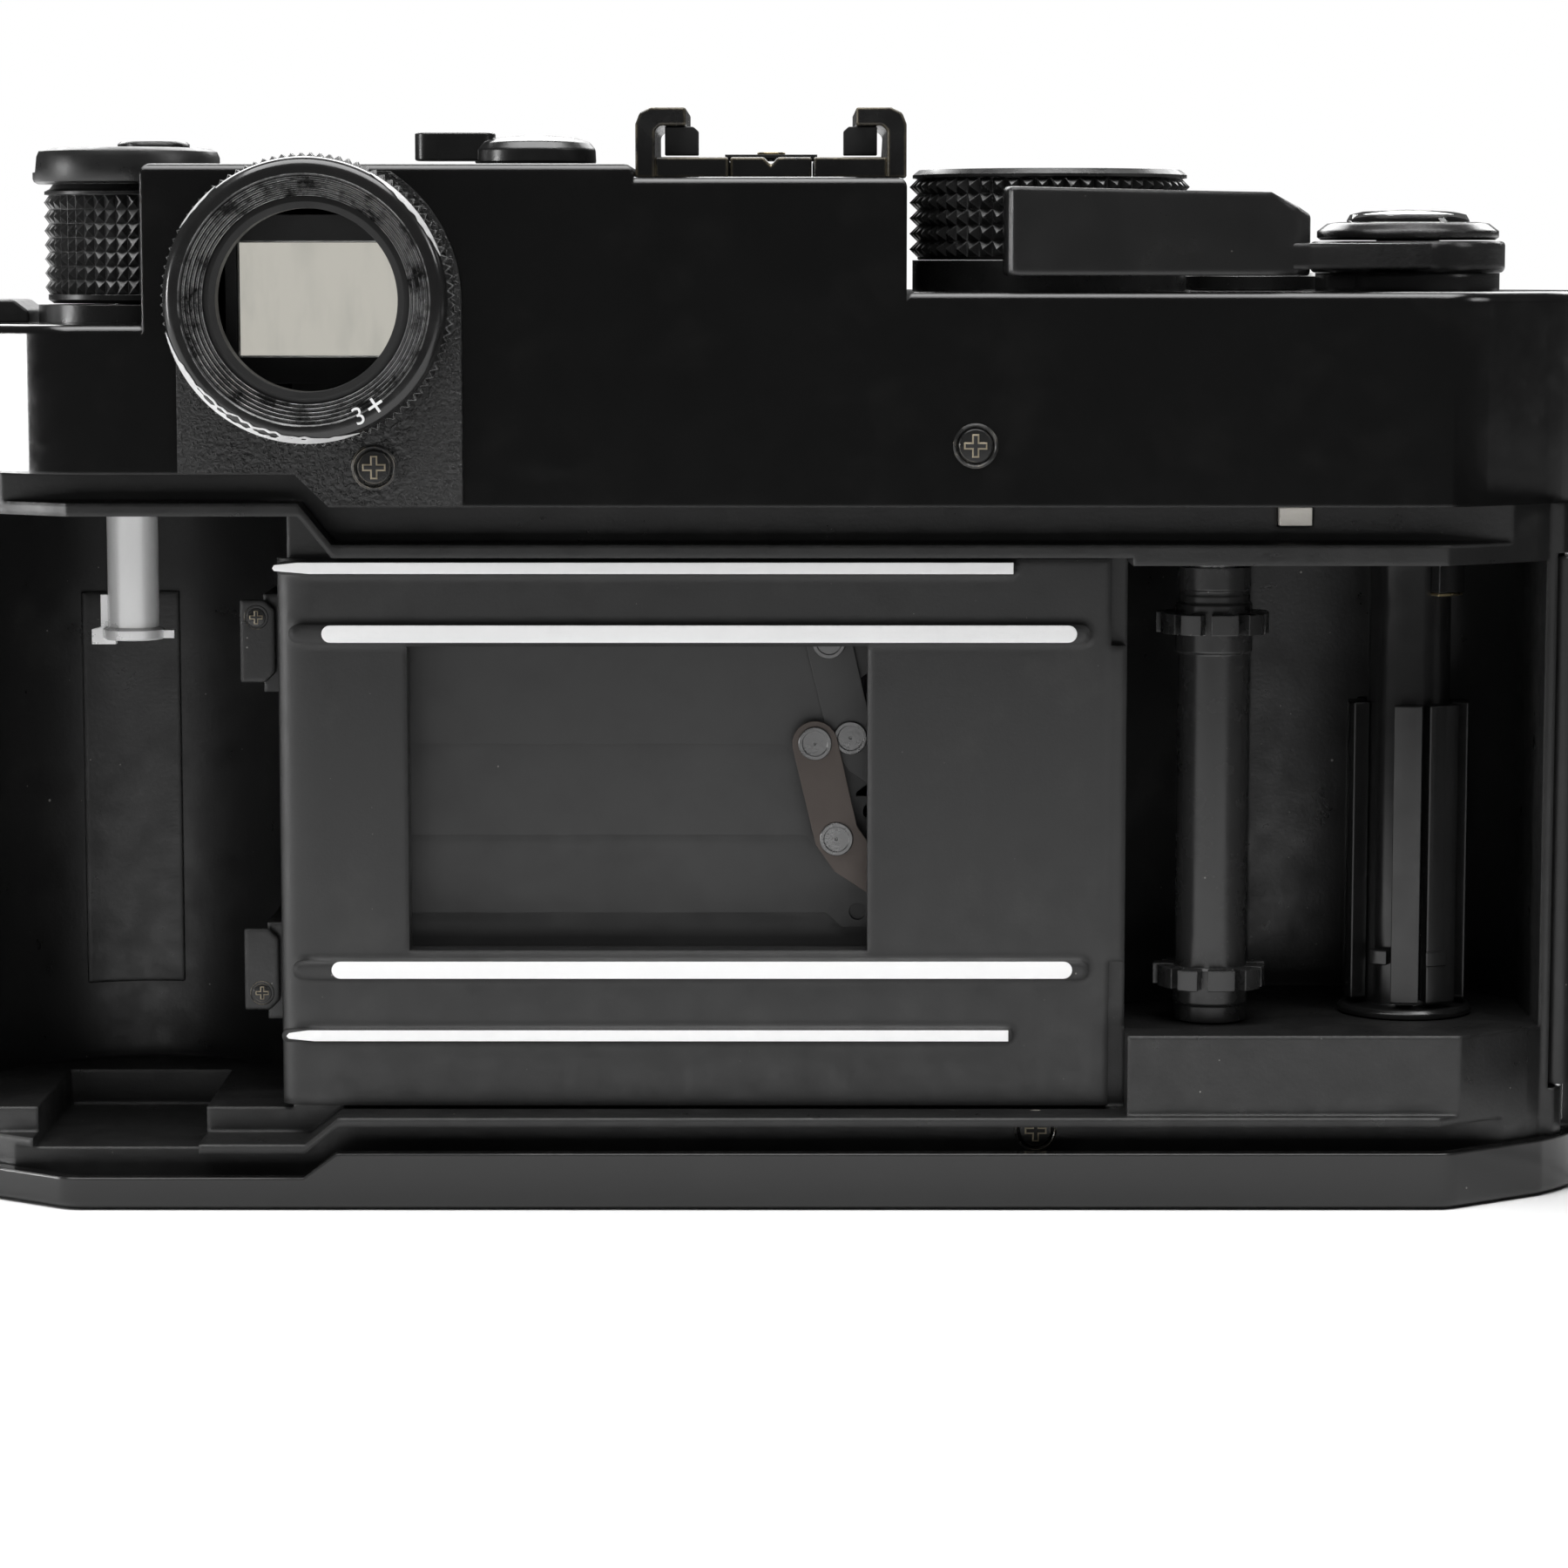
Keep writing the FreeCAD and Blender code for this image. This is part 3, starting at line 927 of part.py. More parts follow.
def eyepiece():
    """The eyepiece plate, its knurled ring, the rectangular glass, and the finder block inside."""
    low, high = s.top_edge + s.gap, s.top_edge_latch + s.gap
    step = s.latch_step + s.step_run
    rear = s.rear_depth
    shoulder = s.eye_z + s.eye_ring - 2 * s.eye_inset
    brow = math.radians(EYE_BROW)
    brow_x, brow_z = s.eye_x - s.eye_plate_round * math.cos(brow), s.eye_z + s.eye_plate_round * math.sin(brow)
    edge = [
        (s.eye_x - s.eye_plate_round, low), (s.latch_step, low), (step, high), (s.eye_plate_left, high),
        (s.eye_plate_left, s.eye_z), (s.eye_x + s.eye_ring / 2, shoulder), (s.eye_x, brow_z),
        (brow_x, brow_z, s.eye_plate_round), (s.eye_x - s.eye_plate_round, s.eye_z),
    ]
    hole = (s.eye_x, s.eye_z, s.eye_bore + s.fit)
    plate = slab("eyepiece_plate", "XZ", [edge, hole], rear, rear + s.eye_plate_thick)
    face = s.eye_proud
    ring = turned("eyepiece_ring", [
        (s.eye_bore, s.eye_plate_thick), (s.eye_skirt, s.eye_plate_thick),
        (s.eye_skirt, face - s.eye_skirt_step),
        (s.eye_ring, face - s.eye_skirt_step + s.eye_bevel), (s.eye_ring, face - s.eye_bevel),
        (s.eye_ring - s.eye_bevel, face), (s.eye_mouth, face), (s.eye_mouth - s.eye_bevel, face - s.eye_seat),
        (s.eye_bore + s.eye_thread, face - s.eye_thread_step), (s.eye_bore, face - s.eye_tube)],
        s.eye_x, rear, s.eye_z, TO_REAR)
    glass_rear = s.film_plane
    half_w, half_h = s.window_width / 2, s.window_height / 2
    window = rectangle(s.eye_x - half_w, s.eye_x + half_w, s.eye_z - half_h, s.eye_z + half_h)
    block_w, block_h = s.finder_width / 2, s.finder_height / 2
    block_edge = rectangle(s.eye_x - block_w, s.eye_x + block_w, s.eye_z - block_h, s.eye_z + block_h)
    front = s.finder_front - s.front_depth
    block = slab("finder_block", "XZ", [block_edge, window], front, glass_rear)
    arm = rectangle(s.range_window_x - s.range_window - s.pane, s.eye_x - block_w,
                    s.eye_z - s.range_window, s.eye_z + s.range_window)
    pad(block, "XZ", [arm], front, front + s.finder_arm)
    foot = rectangle(s.eye_x - block_w / 2, s.eye_x + block_w / 2, s.top_edge_latch, s.eye_z - block_h)
    pad(block, "XZ", [foot], front + s.finder_foot_front, front + s.finder_foot_rear)
    glass = slab("eyepiece_glass", "XZ", [window], glass_rear - s.eye_glass, glass_rear)
    finished(plate, ring, block, glass)
    outer = -s.front_depth + s.front_glass_step
    half_w, half_h = s.finder_window_width / 2 - s.fit, s.finder_window / 2 - s.fit
    pane = rectangle(s.eye_x - half_w, s.eye_x + half_w, s.eye_z - half_h, s.eye_z + half_h)
    finder = slab("finder_window", "XZ", [pane], outer, outer + s.pane)
    half_w, half_h = s.range_window - s.fit, s.range_window / 2 - s.fit
    x = s.range_window_x
    pane = rectangle(x - half_w, x + half_w, s.eye_z - half_h, s.eye_z + half_h)
    ranging = slab("rangefinder_window", "XZ", [pane], outer, outer + s.pane)
    finished(grouped("front_windows", finder, ranging))


def hot_shoe():
    """The accessory shoe: a bent rail, its leaf spring, an insulator and the flash contact."""
    x0, x1 = s.shoe_x - s.shoe_width / 2, s.shoe_x + s.shoe_width / 2
    low, high = s.shoe_seat, s.shoe_seat + s.shoe_height
    floor, lip = low + s.shoe_floor, high - s.lip_thick
    edge = [
        (x0, low), (x1, low), (x1, high), (x1 - s.shoe_lip, high), (x1 - s.shoe_lip, lip),
        (x1 - s.shoe_wall, lip), (x1 - s.shoe_wall, floor), (x0 + s.shoe_wall, floor), (x0 + s.shoe_wall, lip),
        (x0 + s.shoe_lip, lip), (x0 + s.shoe_lip, high), (x0, high),
    ]
    front, rear = s.shoe_y - s.shoe_depth / 2, s.shoe_y + s.shoe_depth / 2
    shoe = slab("hot_shoe", "XZ", [edge], front, rear)
    half_w, half_d, pad_top = s.insulator_width / 2, s.insulator_depth / 2, floor + s.insulator_thick
    insulator = slab("shoe_insulator", "XY", [rectangle(
        s.shoe_x - half_w, s.shoe_x + half_w, s.shoe_y - half_d, s.shoe_y + half_d)], floor, pad_top)
    contact = turned("shoe_contact", stepped((s.contact, 0.0, s.contact_thick)), s.shoe_x, s.shoe_y, pad_top)
    leaf = s.shoe_wall + s.leaf_side
    bend = front + s.leaf_bend
    springs = []
    for number, (left, right) in enumerate(((x0 + leaf, x0 + s.shoe_lip), (x1 - s.shoe_lip, x1 - leaf))):
        springs.append(box("shoe_leaf_%d" % number, left, right, bend, rear - s.leaf_rear,
                           lip - s.leaf_thick, lip))
    bridge = box("shoe_leaf_bridge", x0 + leaf, x1 - leaf, front + s.leaf_front, bend, lip - s.leaf_thick, lip)
    finished(shoe, insulator, contact, fuse("shoe_spring", bridge, *springs))


def frame_selector():
    """The bright frame selector: a small dial on the hump with a finger lever."""
    dial = turned("frame_selector", stepped((s.selector_radius, s.gap, s.selector_height)),
                  s.selector_x, s.selector_y, s.hump_top)
    half = s.selector_width / 2
    finger = rectangle(s.selector_radius - PAST, s.selector_lever, -half, half)
    pad(dial, "XY", [finger], s.gap * 4, s.selector_height + s.fit * 2)
    finished(dial)


def speed_dial():
    """The shutter speed dial and the ring that it turns in."""
    low = s.dial_base + s.fit
    shaft_top = s.dial_base + s.dial_height / 2
    base = turned("speed_dial_base", stepped(
        (s.dial_radius - s.dial_base_inset, 0.0, s.dial_base), (s.dial_shaft, s.dial_base, shaft_top)),
        s.dial_x, s.dial_y, s.right_deck)
    bore = s.dial_shaft + s.fit / 2
    high = low + s.dial_height
    face = high - s.dial_sink
    inner = s.dial_radius - s.dial_rim
    dial = turned("speed_dial", [
        (0.0, shaft_top + s.fit), (bore, shaft_top + s.fit), (bore, low), (s.dial_radius, low),
        (s.dial_radius, high - s.dial_bevel), (s.dial_radius - s.dial_bevel, high), (inner, high),
        (inner - s.dial_base_inset, face), (0.0, face)],
        s.dial_x, s.dial_y, s.right_deck)
    finished(base, dial)


def advance_lever():
    """The film advance lever with its tip, the cap over its pivot, and the frame counter."""
    x, y = s.lever_x, s.lever_y
    foot = s.lever_low - s.fit
    post = turned("lever_base", stepped(
        (s.lever_radius - s.counter_well, s.right_deck, foot),
        (s.lever_post, foot, s.lever_low + s.lever_plate + s.fit)),
        x, y, 0.0)
    lever = turned("advance_lever", stepped((s.lever_radius, 0.0, s.lever_plate), bore=s.lever_post + s.fit),
                   x, y, s.lever_low)
    near, far = -s.lever_near - x, -s.lever_far - x
    rear = s.lever_tip_rear - y
    inner = rear - s.lever_tip_thick
    side = s.lever_slot_side
    inset = s.lever_arm_inset
    reach = near - s.lever_reach
    hub = s.lever_radius * 0.65
    arm = [
        (hub, -hub / 4), (far + inset, inner + side), (reach, inner + side + inset),
        (reach, rear - 2 * side - inset), (far - 2 * side, rear - 2 * side - inset),
        (hub / 5, s.lever_radius * 0.8), (hub / 2, hub / 2),
    ]
    pad(lever, "XY", [arm], inset, s.lever_plate - inset)
    low, high = s.lever_tip_low, s.lever_tip_high
    bevel = s.lever_plate * 0.65
    tip_edge = [
        (near, inner), (near, rear - bevel), (near - bevel, rear), (far + s.lever_plate, rear),
        (far, rear - s.lever_plate), (far, inner + bevel / 2), (far + bevel / 2, inner),
    ]
    tip_outline = prism("tip_block", "XY", [tip_edge], low, high)
    slot_room = box("tip_slot", far - PAST, reach + s.fit, inner + side, rear - 2 * side,
                    s.lever_low + inset - s.fit / 2, s.lever_low + s.lever_plate - inset + s.fit / 2)
    tip = cut("lever_tip", tip_outline, slot_room)
    place(tip, x, y, 0.0)
    cap_low = s.lever_low + s.lever_plate
    cap_high = cap_low + s.lever_cap
    well = cap_low + s.counter_well
    bevel = s.lever_cap_bevel
    cap_side = s.lever_radius - bevel
    cap = turned("lever_cap", [
        (0.0, cap_low + s.fit), (cap_side, cap_low + s.fit), (cap_side, cap_high - bevel),
        (cap_side - bevel, cap_high), (s.counter_radius, cap_high), (s.counter_radius, well), (0.0, well)],
        x, y, 0.0)
    disc_top = well + s.fit + s.counter_thick
    counter = turned("frame_counter", stepped(
        (s.counter_radius - 2 * s.fit, well + s.fit, disc_top)), x, y, 0.0)
    glass_low = disc_top + 2 * s.fit
    glass = turned("counter_window", stepped(
        (s.counter_radius - s.fit / 5, glass_low, cap_high),
        (s.counter_radius - 4 * s.fit, cap_high, cap_high + s.counter_dome)), x, y, 0.0)
    finished(post, lever, tip, cap, counter, glass)


def release():
    """The shutter release: a fixed collar and a button with a thread for a cable."""
    collar = turned("release_collar", stepped((s.release_collar, s.right_deck, s.release_collar_top),
                    bore=s.release_button + s.fit), s.release_x, s.release_y, 0.0)
    low = s.right_deck - s.release_low
    bevel = s.release_bevel
    floor = s.release_top - s.cable_thread_depth
    button = turned("release_button", [
        (0.0, low), (s.release_button, low), (s.release_button, s.release_top - bevel),
        (s.release_button - bevel, s.release_top), (s.cable_thread, s.release_top - bevel / 2),
        (s.cable_thread, floor), (0.0, floor)], s.release_x, s.release_y, 0.0)
    finished(collar, button)


# ---------------------------------------------------------------- door


def hung(piece):
    """Open the door's piece about the hinge."""
    swing(piece, s.hinge_x, s.hinge_y, s.door_open)
    return piece


def back_door():
    """The film door with its skin, pressure plate and plate springs, and the hinge pin."""
    low, high = s.base_edge + s.gap, s.top_edge - s.gap
    latch_low, latch_high = s.base_edge_latch + s.gap, s.top_edge_latch - s.gap
    face = latch_line(low, latch_low) + list(reversed(latch_line(high, latch_high)))
    outside = prism("door_outside", "XY", [plan(s.skin / 2)], 0.0, TOP)
    inside = prism("door_inside", "XY", [plan(s.door_wall)], -PAST, TOP + PAST)
    ring = cut("door_ring", outside, inside)
    shape = prism("door_shape", "XZ", [face], s.door_front + s.gap, as_size(REAR))
    shell = common("door_shell", ring, shape)
    wall = s.rear_depth - s.door_wall
    lips = []
    lip_base = s.rib_high + s.rib_high_thick + s.lip_rise
    for number, (under, over) in enumerate((
            (lip_base, lip_base + s.lip_wall), (s.base_edge + 2 * s.gap, s.rib_low - 2 * s.gap))):
        lips.append(box("door_lip_%d" % number, s.body_middle - s.back_flat / 2 + s.lip_end,
                        s.latch_step - s.lip_latch_end, wall - s.lip_depth, wall + s.lip_overlap, under, over))
    barrel = cylinder("door_knuckle", s.knuckle, s.knuckle_high - s.knuckle_low, s.hinge_x, s.hinge_y,
                      s.knuckle_low)
    bore = cylinder("door_pin_bore", s.hinge_pin + s.fit / 2, TOP, s.hinge_x, s.hinge_y, BOTTOM)
    bridge_room = box("door_bridge_room", RIGHT, s.hinge_x + s.bridge_reach, s.hinge_y, s.door_front + PAST,
                      s.knuckle_low, s.knuckle_high)
    bridge = common("door_bridge", ring, bridge_room)
    door = cut("back_door", fuse("door_solid", shell, barrel, bridge, *lips), bore)
    finished(hung(door))

    margin = s.door_skin_margin
    skin_low, skin_high = low + margin, high - margin
    outer = prism("door_skin_outside", "XY", [plan(as_size(0.0))], skin_low, skin_high)
    inner = prism("door_skin_inside", "XY", [plan(s.skin / 2)], skin_low - PAST, skin_high + PAST)
    skin_ring = cut("door_skin_ring", outer, inner)
    room = box("door_skin_room", RIGHT, LEFT, s.door_front + margin, REAR, BOTTOM, TOP)
    finished(hung(common("door_leatherette", skin_ring, room)))

    rear = s.film_plane + s.outer_proud + s.pressure_gap
    half_w, half_h, mid = s.pressure_width / 2, s.pressure_height / 2, s.lens_height
    plate = slab("pressure_plate", "XZ", [rectangle(-half_w, half_w, mid - half_h, mid + half_h)],
                 rear, rear + s.pressure_thick)
    finished(hung(plate))
    back = rear + s.pressure_thick
    end = half_w * 0.6
    foot = s.leaf_foot
    leaf = [
        (-end, wall), (-end, wall - s.leaf), (-foot, wall - s.leaf), (0.0, back),
        (foot, wall - s.leaf), (end, wall - s.leaf), (end, wall),
    ]
    leaves = []
    for side in (-1, 1):
        level = mid + side * s.leaf_spread
        leaves.append(prism("plate_leaf_%d" % (side + 1), "XY", [leaf],
                            level - s.leaf_half, level + s.leaf_half))
    finished(hung(fuse("pressure_springs", *leaves)))
    pin = cylinder("hinge_pin", s.hinge_pin, s.top_edge - s.base_edge - 2 * PAST, s.hinge_x, s.hinge_y,
                   s.base_edge + PAST)
    finished(pin)


# ---------------------------------------------------------------- underside and small parts


def underside():
    """The tripod bush, the battery cap and the rewind release button in the base."""
    bush = turned("tripod_socket", stepped((s.socket_outer - s.fit / 10, 0.0, s.socket_depth - s.bush_inset),
                  bore=s.socket_radius), 0.0, 0.0, 0.0)
    cap = turned("battery_cap", stepped((s.battery_radius, 0.0, s.cover_wall)), s.battery_x, 0.0, 0.0)
    reach, half = s.battery_radius * 0.8, s.battery_slot / 2
    pocket(cap, "XY", [rectangle(-reach, reach, -half, half)], -PAST, s.battery_slot_depth)
    button = turned("rewind_release_button", stepped(
        (s.rewind_button, s.rewind_button_low, s.rewind_button_high)), s.rewind_button_x, 0.0, 0.0)
    finished(bush, cap, button)


def recessed_screw(label, radius, x, y, z):
    """A cross-head screw that looks to the rear."""
    head = -s.screw_head
    screw = turned(label, stepped((radius * 0.5, -s.screw_length, head), (radius, head, 0.0)), x, y, z, TO_REAR)
    wide, reach = radius * 0.14, radius * 0.62
    pocket(screw, "XY", [rectangle(-wide, wide, -reach, reach)], -s.cross_depth, PAST)
    pocket(screw, "XY", [rectangle(-reach, reach, -wide, wide)], -s.cross_depth, PAST)
    return screw


def screws():
    """The visible screws, as one group. Each is a radius, then where its head ends."""
    seat = s.rear_depth + s.eye_plate_thick
    pad_x = s.chamber_x - s.chamber_radius + s.pad_width / 2
    spots = [
        (1.35, 19.8, seat + s.screw_proud, 57.9),
        (1.35, -26.1, s.rear_depth + s.screw_proud, 59.5),
        (0.88, -31.3, s.groove_floor + 0.5, (s.base_edge + s.rib_low) / 2),
        (1.0, pad_x, s.pad_rear + s.screw_proud, s.pad_high_z + 2.0),
        (1.0, pad_x, s.pad_rear + s.screw_proud, s.pad_low_z - 2.0),
    ]
    heads = [recessed_screw("screw_%d" % n, as_size(r), x, y, z) for n, (r, x, y, z) in enumerate(spots)]
    finished(grouped("body_screws", *heads))


def small_parts():
    """The counter reset tab in the upper groove and the two strap lugs."""
    edge = rectangle(s.tab_left, s.tab_right, s.tab_low, s.tab_high)
    tab = slab("counter_reset_tab", "XZ", [edge], s.tab_front, s.groove_floor + s.tab_proud)
    finished(tab)
    reach = s.body_length / 2 - s.cover_wall
    lugs = []
    for side in (1, -1):
        turn = FreeCAD.Rotation(FreeCAD.Vector(0, 1, 0), 90 * side)
        profile = stepped((s.foot_lug * 0.6, 0.0, s.lug_neck), (s.foot_lug, s.lug_neck, s.lug_length))
        x = s.body_middle + side * reach
        lugs.append(turned("lug_%d" % (side + 1), profile, x, s.end_centre, s.lug_z, turn))
    finished(grouped("strap_lugs", *lugs))


def build():
    body_casting()
    film_gate_plate()
    base_cover()
    top_cover()
    leatherettes()
    front_plate()
    shutter()
    sprocket()
    takeup_spool()
    rewind()
    cartridge_pads()
    lens()
    eyepiece()
    hot_shoe()
    frame_selector()
    speed_dial()
    advance_lever()
    release()
    back_door()
    underside()
    screws()
    small_parts()


def check():
    """Stop if any object failed or any sub-part isn't a sound solid."""
    for item in doc.Objects:
        if "Invalid" in item.State or "Error" in item.State:
            raise RuntimeError("%s failed" % item.Name)
    for piece in MADE:
        if piece.Shape.isNull() or not piece.Shape.isValid() or piece.Shape.Volume <= 0:
            raise RuntimeError("%s isn't a sound solid" % piece.Label)


def write():
    os.makedirs("parts", exist_ok=True)
    for piece in MADE:
        piece.Shape.exportStep("parts/%s.step" % piece.Label)


build()
doc.recompute()
check()
write()
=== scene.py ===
import bmesh
import bpy
import json
import math
from mathutils import Matrix, Vector


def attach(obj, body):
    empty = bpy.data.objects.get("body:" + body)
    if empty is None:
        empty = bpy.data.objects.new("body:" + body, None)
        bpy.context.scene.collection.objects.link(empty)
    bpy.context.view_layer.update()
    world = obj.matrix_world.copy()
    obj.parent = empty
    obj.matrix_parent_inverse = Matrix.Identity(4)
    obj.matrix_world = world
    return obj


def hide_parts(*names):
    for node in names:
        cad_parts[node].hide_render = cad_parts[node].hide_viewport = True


# The looks of a 35 mm film camera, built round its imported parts.
# Lengths are written in millimetres; the scene itself is in metres.
# +Z is up, the film door side is +Y, and the rewind knob is on the +X side.

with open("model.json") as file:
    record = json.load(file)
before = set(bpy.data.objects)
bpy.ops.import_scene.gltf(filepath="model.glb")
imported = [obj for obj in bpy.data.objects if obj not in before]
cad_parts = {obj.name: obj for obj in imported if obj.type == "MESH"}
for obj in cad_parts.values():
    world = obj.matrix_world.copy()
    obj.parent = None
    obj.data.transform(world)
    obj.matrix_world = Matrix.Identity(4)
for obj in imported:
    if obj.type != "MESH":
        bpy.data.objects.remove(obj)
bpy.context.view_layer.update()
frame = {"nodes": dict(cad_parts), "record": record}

MM = 0.001
TAU = 2 * math.pi

# Where the main groups stand: axes in X and Y, heights in Z.
DECK_RIGHT, DECK_LEFT, HUMP_TOP, SHOE_SEAT = 71.2, 68.6, 80.9, 79.9
REWIND = (40.9, 0.0)
SELECTOR = (8.2, 2.0)
DIAL, DIAL_FOOT = (-32.6, 0.0), 73.7
LEVER = (-61.2, 0.0)
RELEASE = (-49.4, -9.2)
SPROCKET = (-45.5, 6.0)
SPOOL = (-61.6, 1.8)
CHAMBER, CHAMBER_RADIUS = (41.0, 0.0), 13.6
EYEPIECE_X, EYEPIECE_Z, EYEPIECE_SEAT = 24.6, 70.6, 17.0
LENS_Z, FLANGE_Y = 31.65, -16.8
PLATE_REAR, PLATE_SEAT = 11.5, 10.0
PICTURE = (-18.0, 18.0, 19.65, 43.65)       # left, right, low and high of the picture opening
INNER_RIBS = ((43.94, 45.38), (17.45, 18.89))
OUTER_RIBS = ((49.35, 50.25), (12.53, 13.41))
COUNTER_MARKS, SPEED_PLACES = 36, 13

TO_REAR = Matrix.Rotation(-math.pi / 2, 4, "X")     # a turned piece's axis looks along +Y
TO_FRONT = Matrix.Rotation(math.pi / 2, 4, "X")     # and along -Y


# ---------------------------------------------------------------- materials


class Graph:
    """A material's node tree, with short ways to add and join nodes."""

    def __init__(self, name):
        self.material = bpy.data.materials.new(name)
        self.material.use_nodes = True
        self.tree = self.material.node_tree
        self.shader = self.tree.nodes["Principled BSDF"]

    def node(self, kind, inputs=None, **settings):
        made = self.tree.nodes.new(kind)
        for key, value in settings.items():
            setattr(made, key, value)
        for key, value in (inputs or {}).items():
            self.put(made.inputs[key], value)
        return made

    def put(self, socket, value):
        if isinstance(value, bpy.types.NodeSocket):
            self.tree.links.new(value, socket)
        else:
            socket.default_value = value

    def math(self, operation, first, second=0.0, third=0.0, clamp=False):
        made = self.node("ShaderNodeMath", operation=operation, use_clamp=clamp)
        for index, value in enumerate((first, second, third)):
            self.put(made.inputs[index], value)
        return made.outputs[0]

    def blend(self, share, first, second):
        made = self.node("ShaderNodeMix", data_type="RGBA")
        for index, value in ((0, share), (6, first), (7, second)):
            self.put(made.inputs[index], value)
        return made.outputs[2]

    def step(self, value, low, high, out_low=0.0, out_high=1.0):
        made = self.node("ShaderNodeMapRange", {0: value, 1: low, 2: high, 3: out_low, 4: out_high})
        return made.outputs[0]

    def place(self, scale=(1, 1, 1)):
        """Object coordinates in millimetres, stretched per axis."""
        spot = self.node("ShaderNodeTexCoord").outputs["Object"]
        mapping = self.node("ShaderNodeMapping", {"Vector": spot})
        mapping.inputs["Scale"].default_value = [1000.0 * s for s in scale]
        return mapping.outputs[0]

    def noise(self, where, scale, detail=3.0, rough=0.5):
        made = self.node("ShaderNodeTexNoise", {"Vector": where, "Scale": scale, "Detail": detail,
                                                "Roughness": rough})
        return made.outputs[0]

    def specks(self, where, cell, share, size):
        """Small grains: one random spot in some cells of a grid."""
        cells = self.node("ShaderNodeTexVoronoi", {"Vector": where, "Scale": 1.0 / cell})
        chance = self.node("ShaderNodeSeparateColor", {0: cells.outputs["Color"]}).outputs
        near = self.math("MULTIPLY", chance[1], size)
        spot = self.math("LESS_THAN", cells.outputs["Distance"], near)
        return self.math("MULTIPLY", spot, self.math("LESS_THAN", chance[0], share))


def rgb(level, tint=(1, 1, 1)):
    return (level * tint[0], level * tint[1], level * tint[2], 1.0)


def finish_of(name, tone, rough, metal=0.0, tint=(1, 1, 1), mottle=0.25, rough_spread=0.1, grain=(2.5, 0.06),
              stretch=(1, 1, 1), dust=0.0, wear=0.0, wear_tone=(0.5, 0.48, 0.45, 1), wear_width=0.18,
              edge=0.12,
              crackle=0.0, scratches=0.0):
    """One procedural finish: mottled colour, uneven gloss, fine grain, soft worn edges and dust."""
    g = Graph(name)
    where = g.place()
    grained = g.place(stretch)
    broad = g.noise(where, 0.12, 4.0)
    fine = g.noise(grained, grain[0], 4.0, 0.6)
    colour = g.blend(broad, rgb(tone * (1 - mottle), tint), rgb(tone * (1 + mottle), tint))
    uneven = g.noise(where, 0.35, 5.0, 0.6)
    gloss = g.step(uneven, 0.3, 0.7, max(rough - rough_spread, 0.03), rough + rough_spread)
    metallic = metal
    if scratches:
        lines = g.noise(g.place((0.12, 1.0, 0.5)), 1.1, 3.0)
        mark = g.step(lines, 0.60, 0.80)
        gloss = g.math("ADD", gloss, g.math("MULTIPLY", mark, scratches))
    if wear:
        bevel = g.node("ShaderNodeBevel", {"Radius": wear_width * MM}, samples=4)
        flat = g.node("ShaderNodeNewGeometry").outputs["Normal"]
        facing = g.node("ShaderNodeVectorMath", {0: bevel.outputs[0], 1: flat}, operation="DOT_PRODUCT")
        rim = g.step(facing.outputs["Value"], 0.995, 0.80)
        patch = g.step(g.noise(where, 0.55, 5.0, 0.7), 0.62 - 0.3 * wear, 0.78 - 0.3 * wear)
        worn = g.math("MULTIPLY", rim, patch, clamp=True)
        colour = g.blend(worn, colour, wear_tone)
        gloss = g.math("ADD", gloss, g.math("MULTIPLY", worn, 0.15))
        metallic = g.math("MAXIMUM", metal, g.math("MULTIPLY", worn, 0.7))
    if dust:
        coarse = g.specks(where, 2.6, 0.20 * dust, 0.045)
        small = g.specks(where, 0.8, 0.14 * dust, 0.10)
        film = g.step(g.noise(where, 0.16, 6.0, 0.65), 0.55, 0.75, 0.0, 0.03 * dust)
        lint = g.math("MAXIMUM", g.math("MAXIMUM", coarse, g.math("MULTIPLY", small, 0.6)), film)
        colour = g.blend(lint, colour, (0.32, 0.31, 0.29, 1))
        gloss = g.math("ADD", gloss, g.math("MULTIPLY", lint, 0.4))
    height = fine
    if crackle:
        drops = g.noise(where, 2.1, 4.0, 0.55)
        height = g.math("ADD", g.math("MULTIPLY", g.step(drops, 0.52, 0.60), crackle), fine)
    smooth = g.node("ShaderNodeBevel", {"Radius": edge * MM}, samples=4)
    bump = g.node("ShaderNodeBump", {"Height": height, "Normal": smooth.outputs[0], "Strength": grain[1],
                                     "Distance": 0.15 * MM})
    g.put(g.shader.inputs["Normal"], bump.outputs[0])
    g.put(g.shader.inputs["Base Color"], colour)
    g.put(g.shader.inputs["Roughness"], gloss)
    g.put(g.shader.inputs["Metallic"], metallic)
    return g.material


def leather(name):
    """Black leatherette: small irregular pebbles with fine creases between them."""
    g = Graph(name)
    where = g.place()
    pebbles = g.node("ShaderNodeTexVoronoi", {"Vector": where, "Scale": 1.25, "Randomness": 0.85},
                     feature="DISTANCE_TO_EDGE").outputs[0]
    domes = g.step(pebbles, 0.02, 0.32)
    fine = g.noise(where, 5.0, 4.0, 0.6)
    height = g.math("ADD", domes, g.math("MULTIPLY", fine, 0.25))
    bump = g.node("ShaderNodeBump", {"Height": height, "Strength": 0.75, "Distance": 0.16 * MM})
    # Painted shade: the colour is darker in the creases between the pebbles and lighter on their tops.
    colour = g.blend(domes, rgb(0.006), rgb(0.026))
    lint = g.specks(where, 1.6, 0.05, 0.06)
    g.put(g.shader.inputs["Base Color"], g.blend(lint, colour, rgb(0.3)))
    g.put(g.shader.inputs["Roughness"], g.step(fine, 0.3, 0.7, 0.38, 0.6))
    g.put(g.shader.inputs["Normal"], bump.outputs[0])
    return g.material


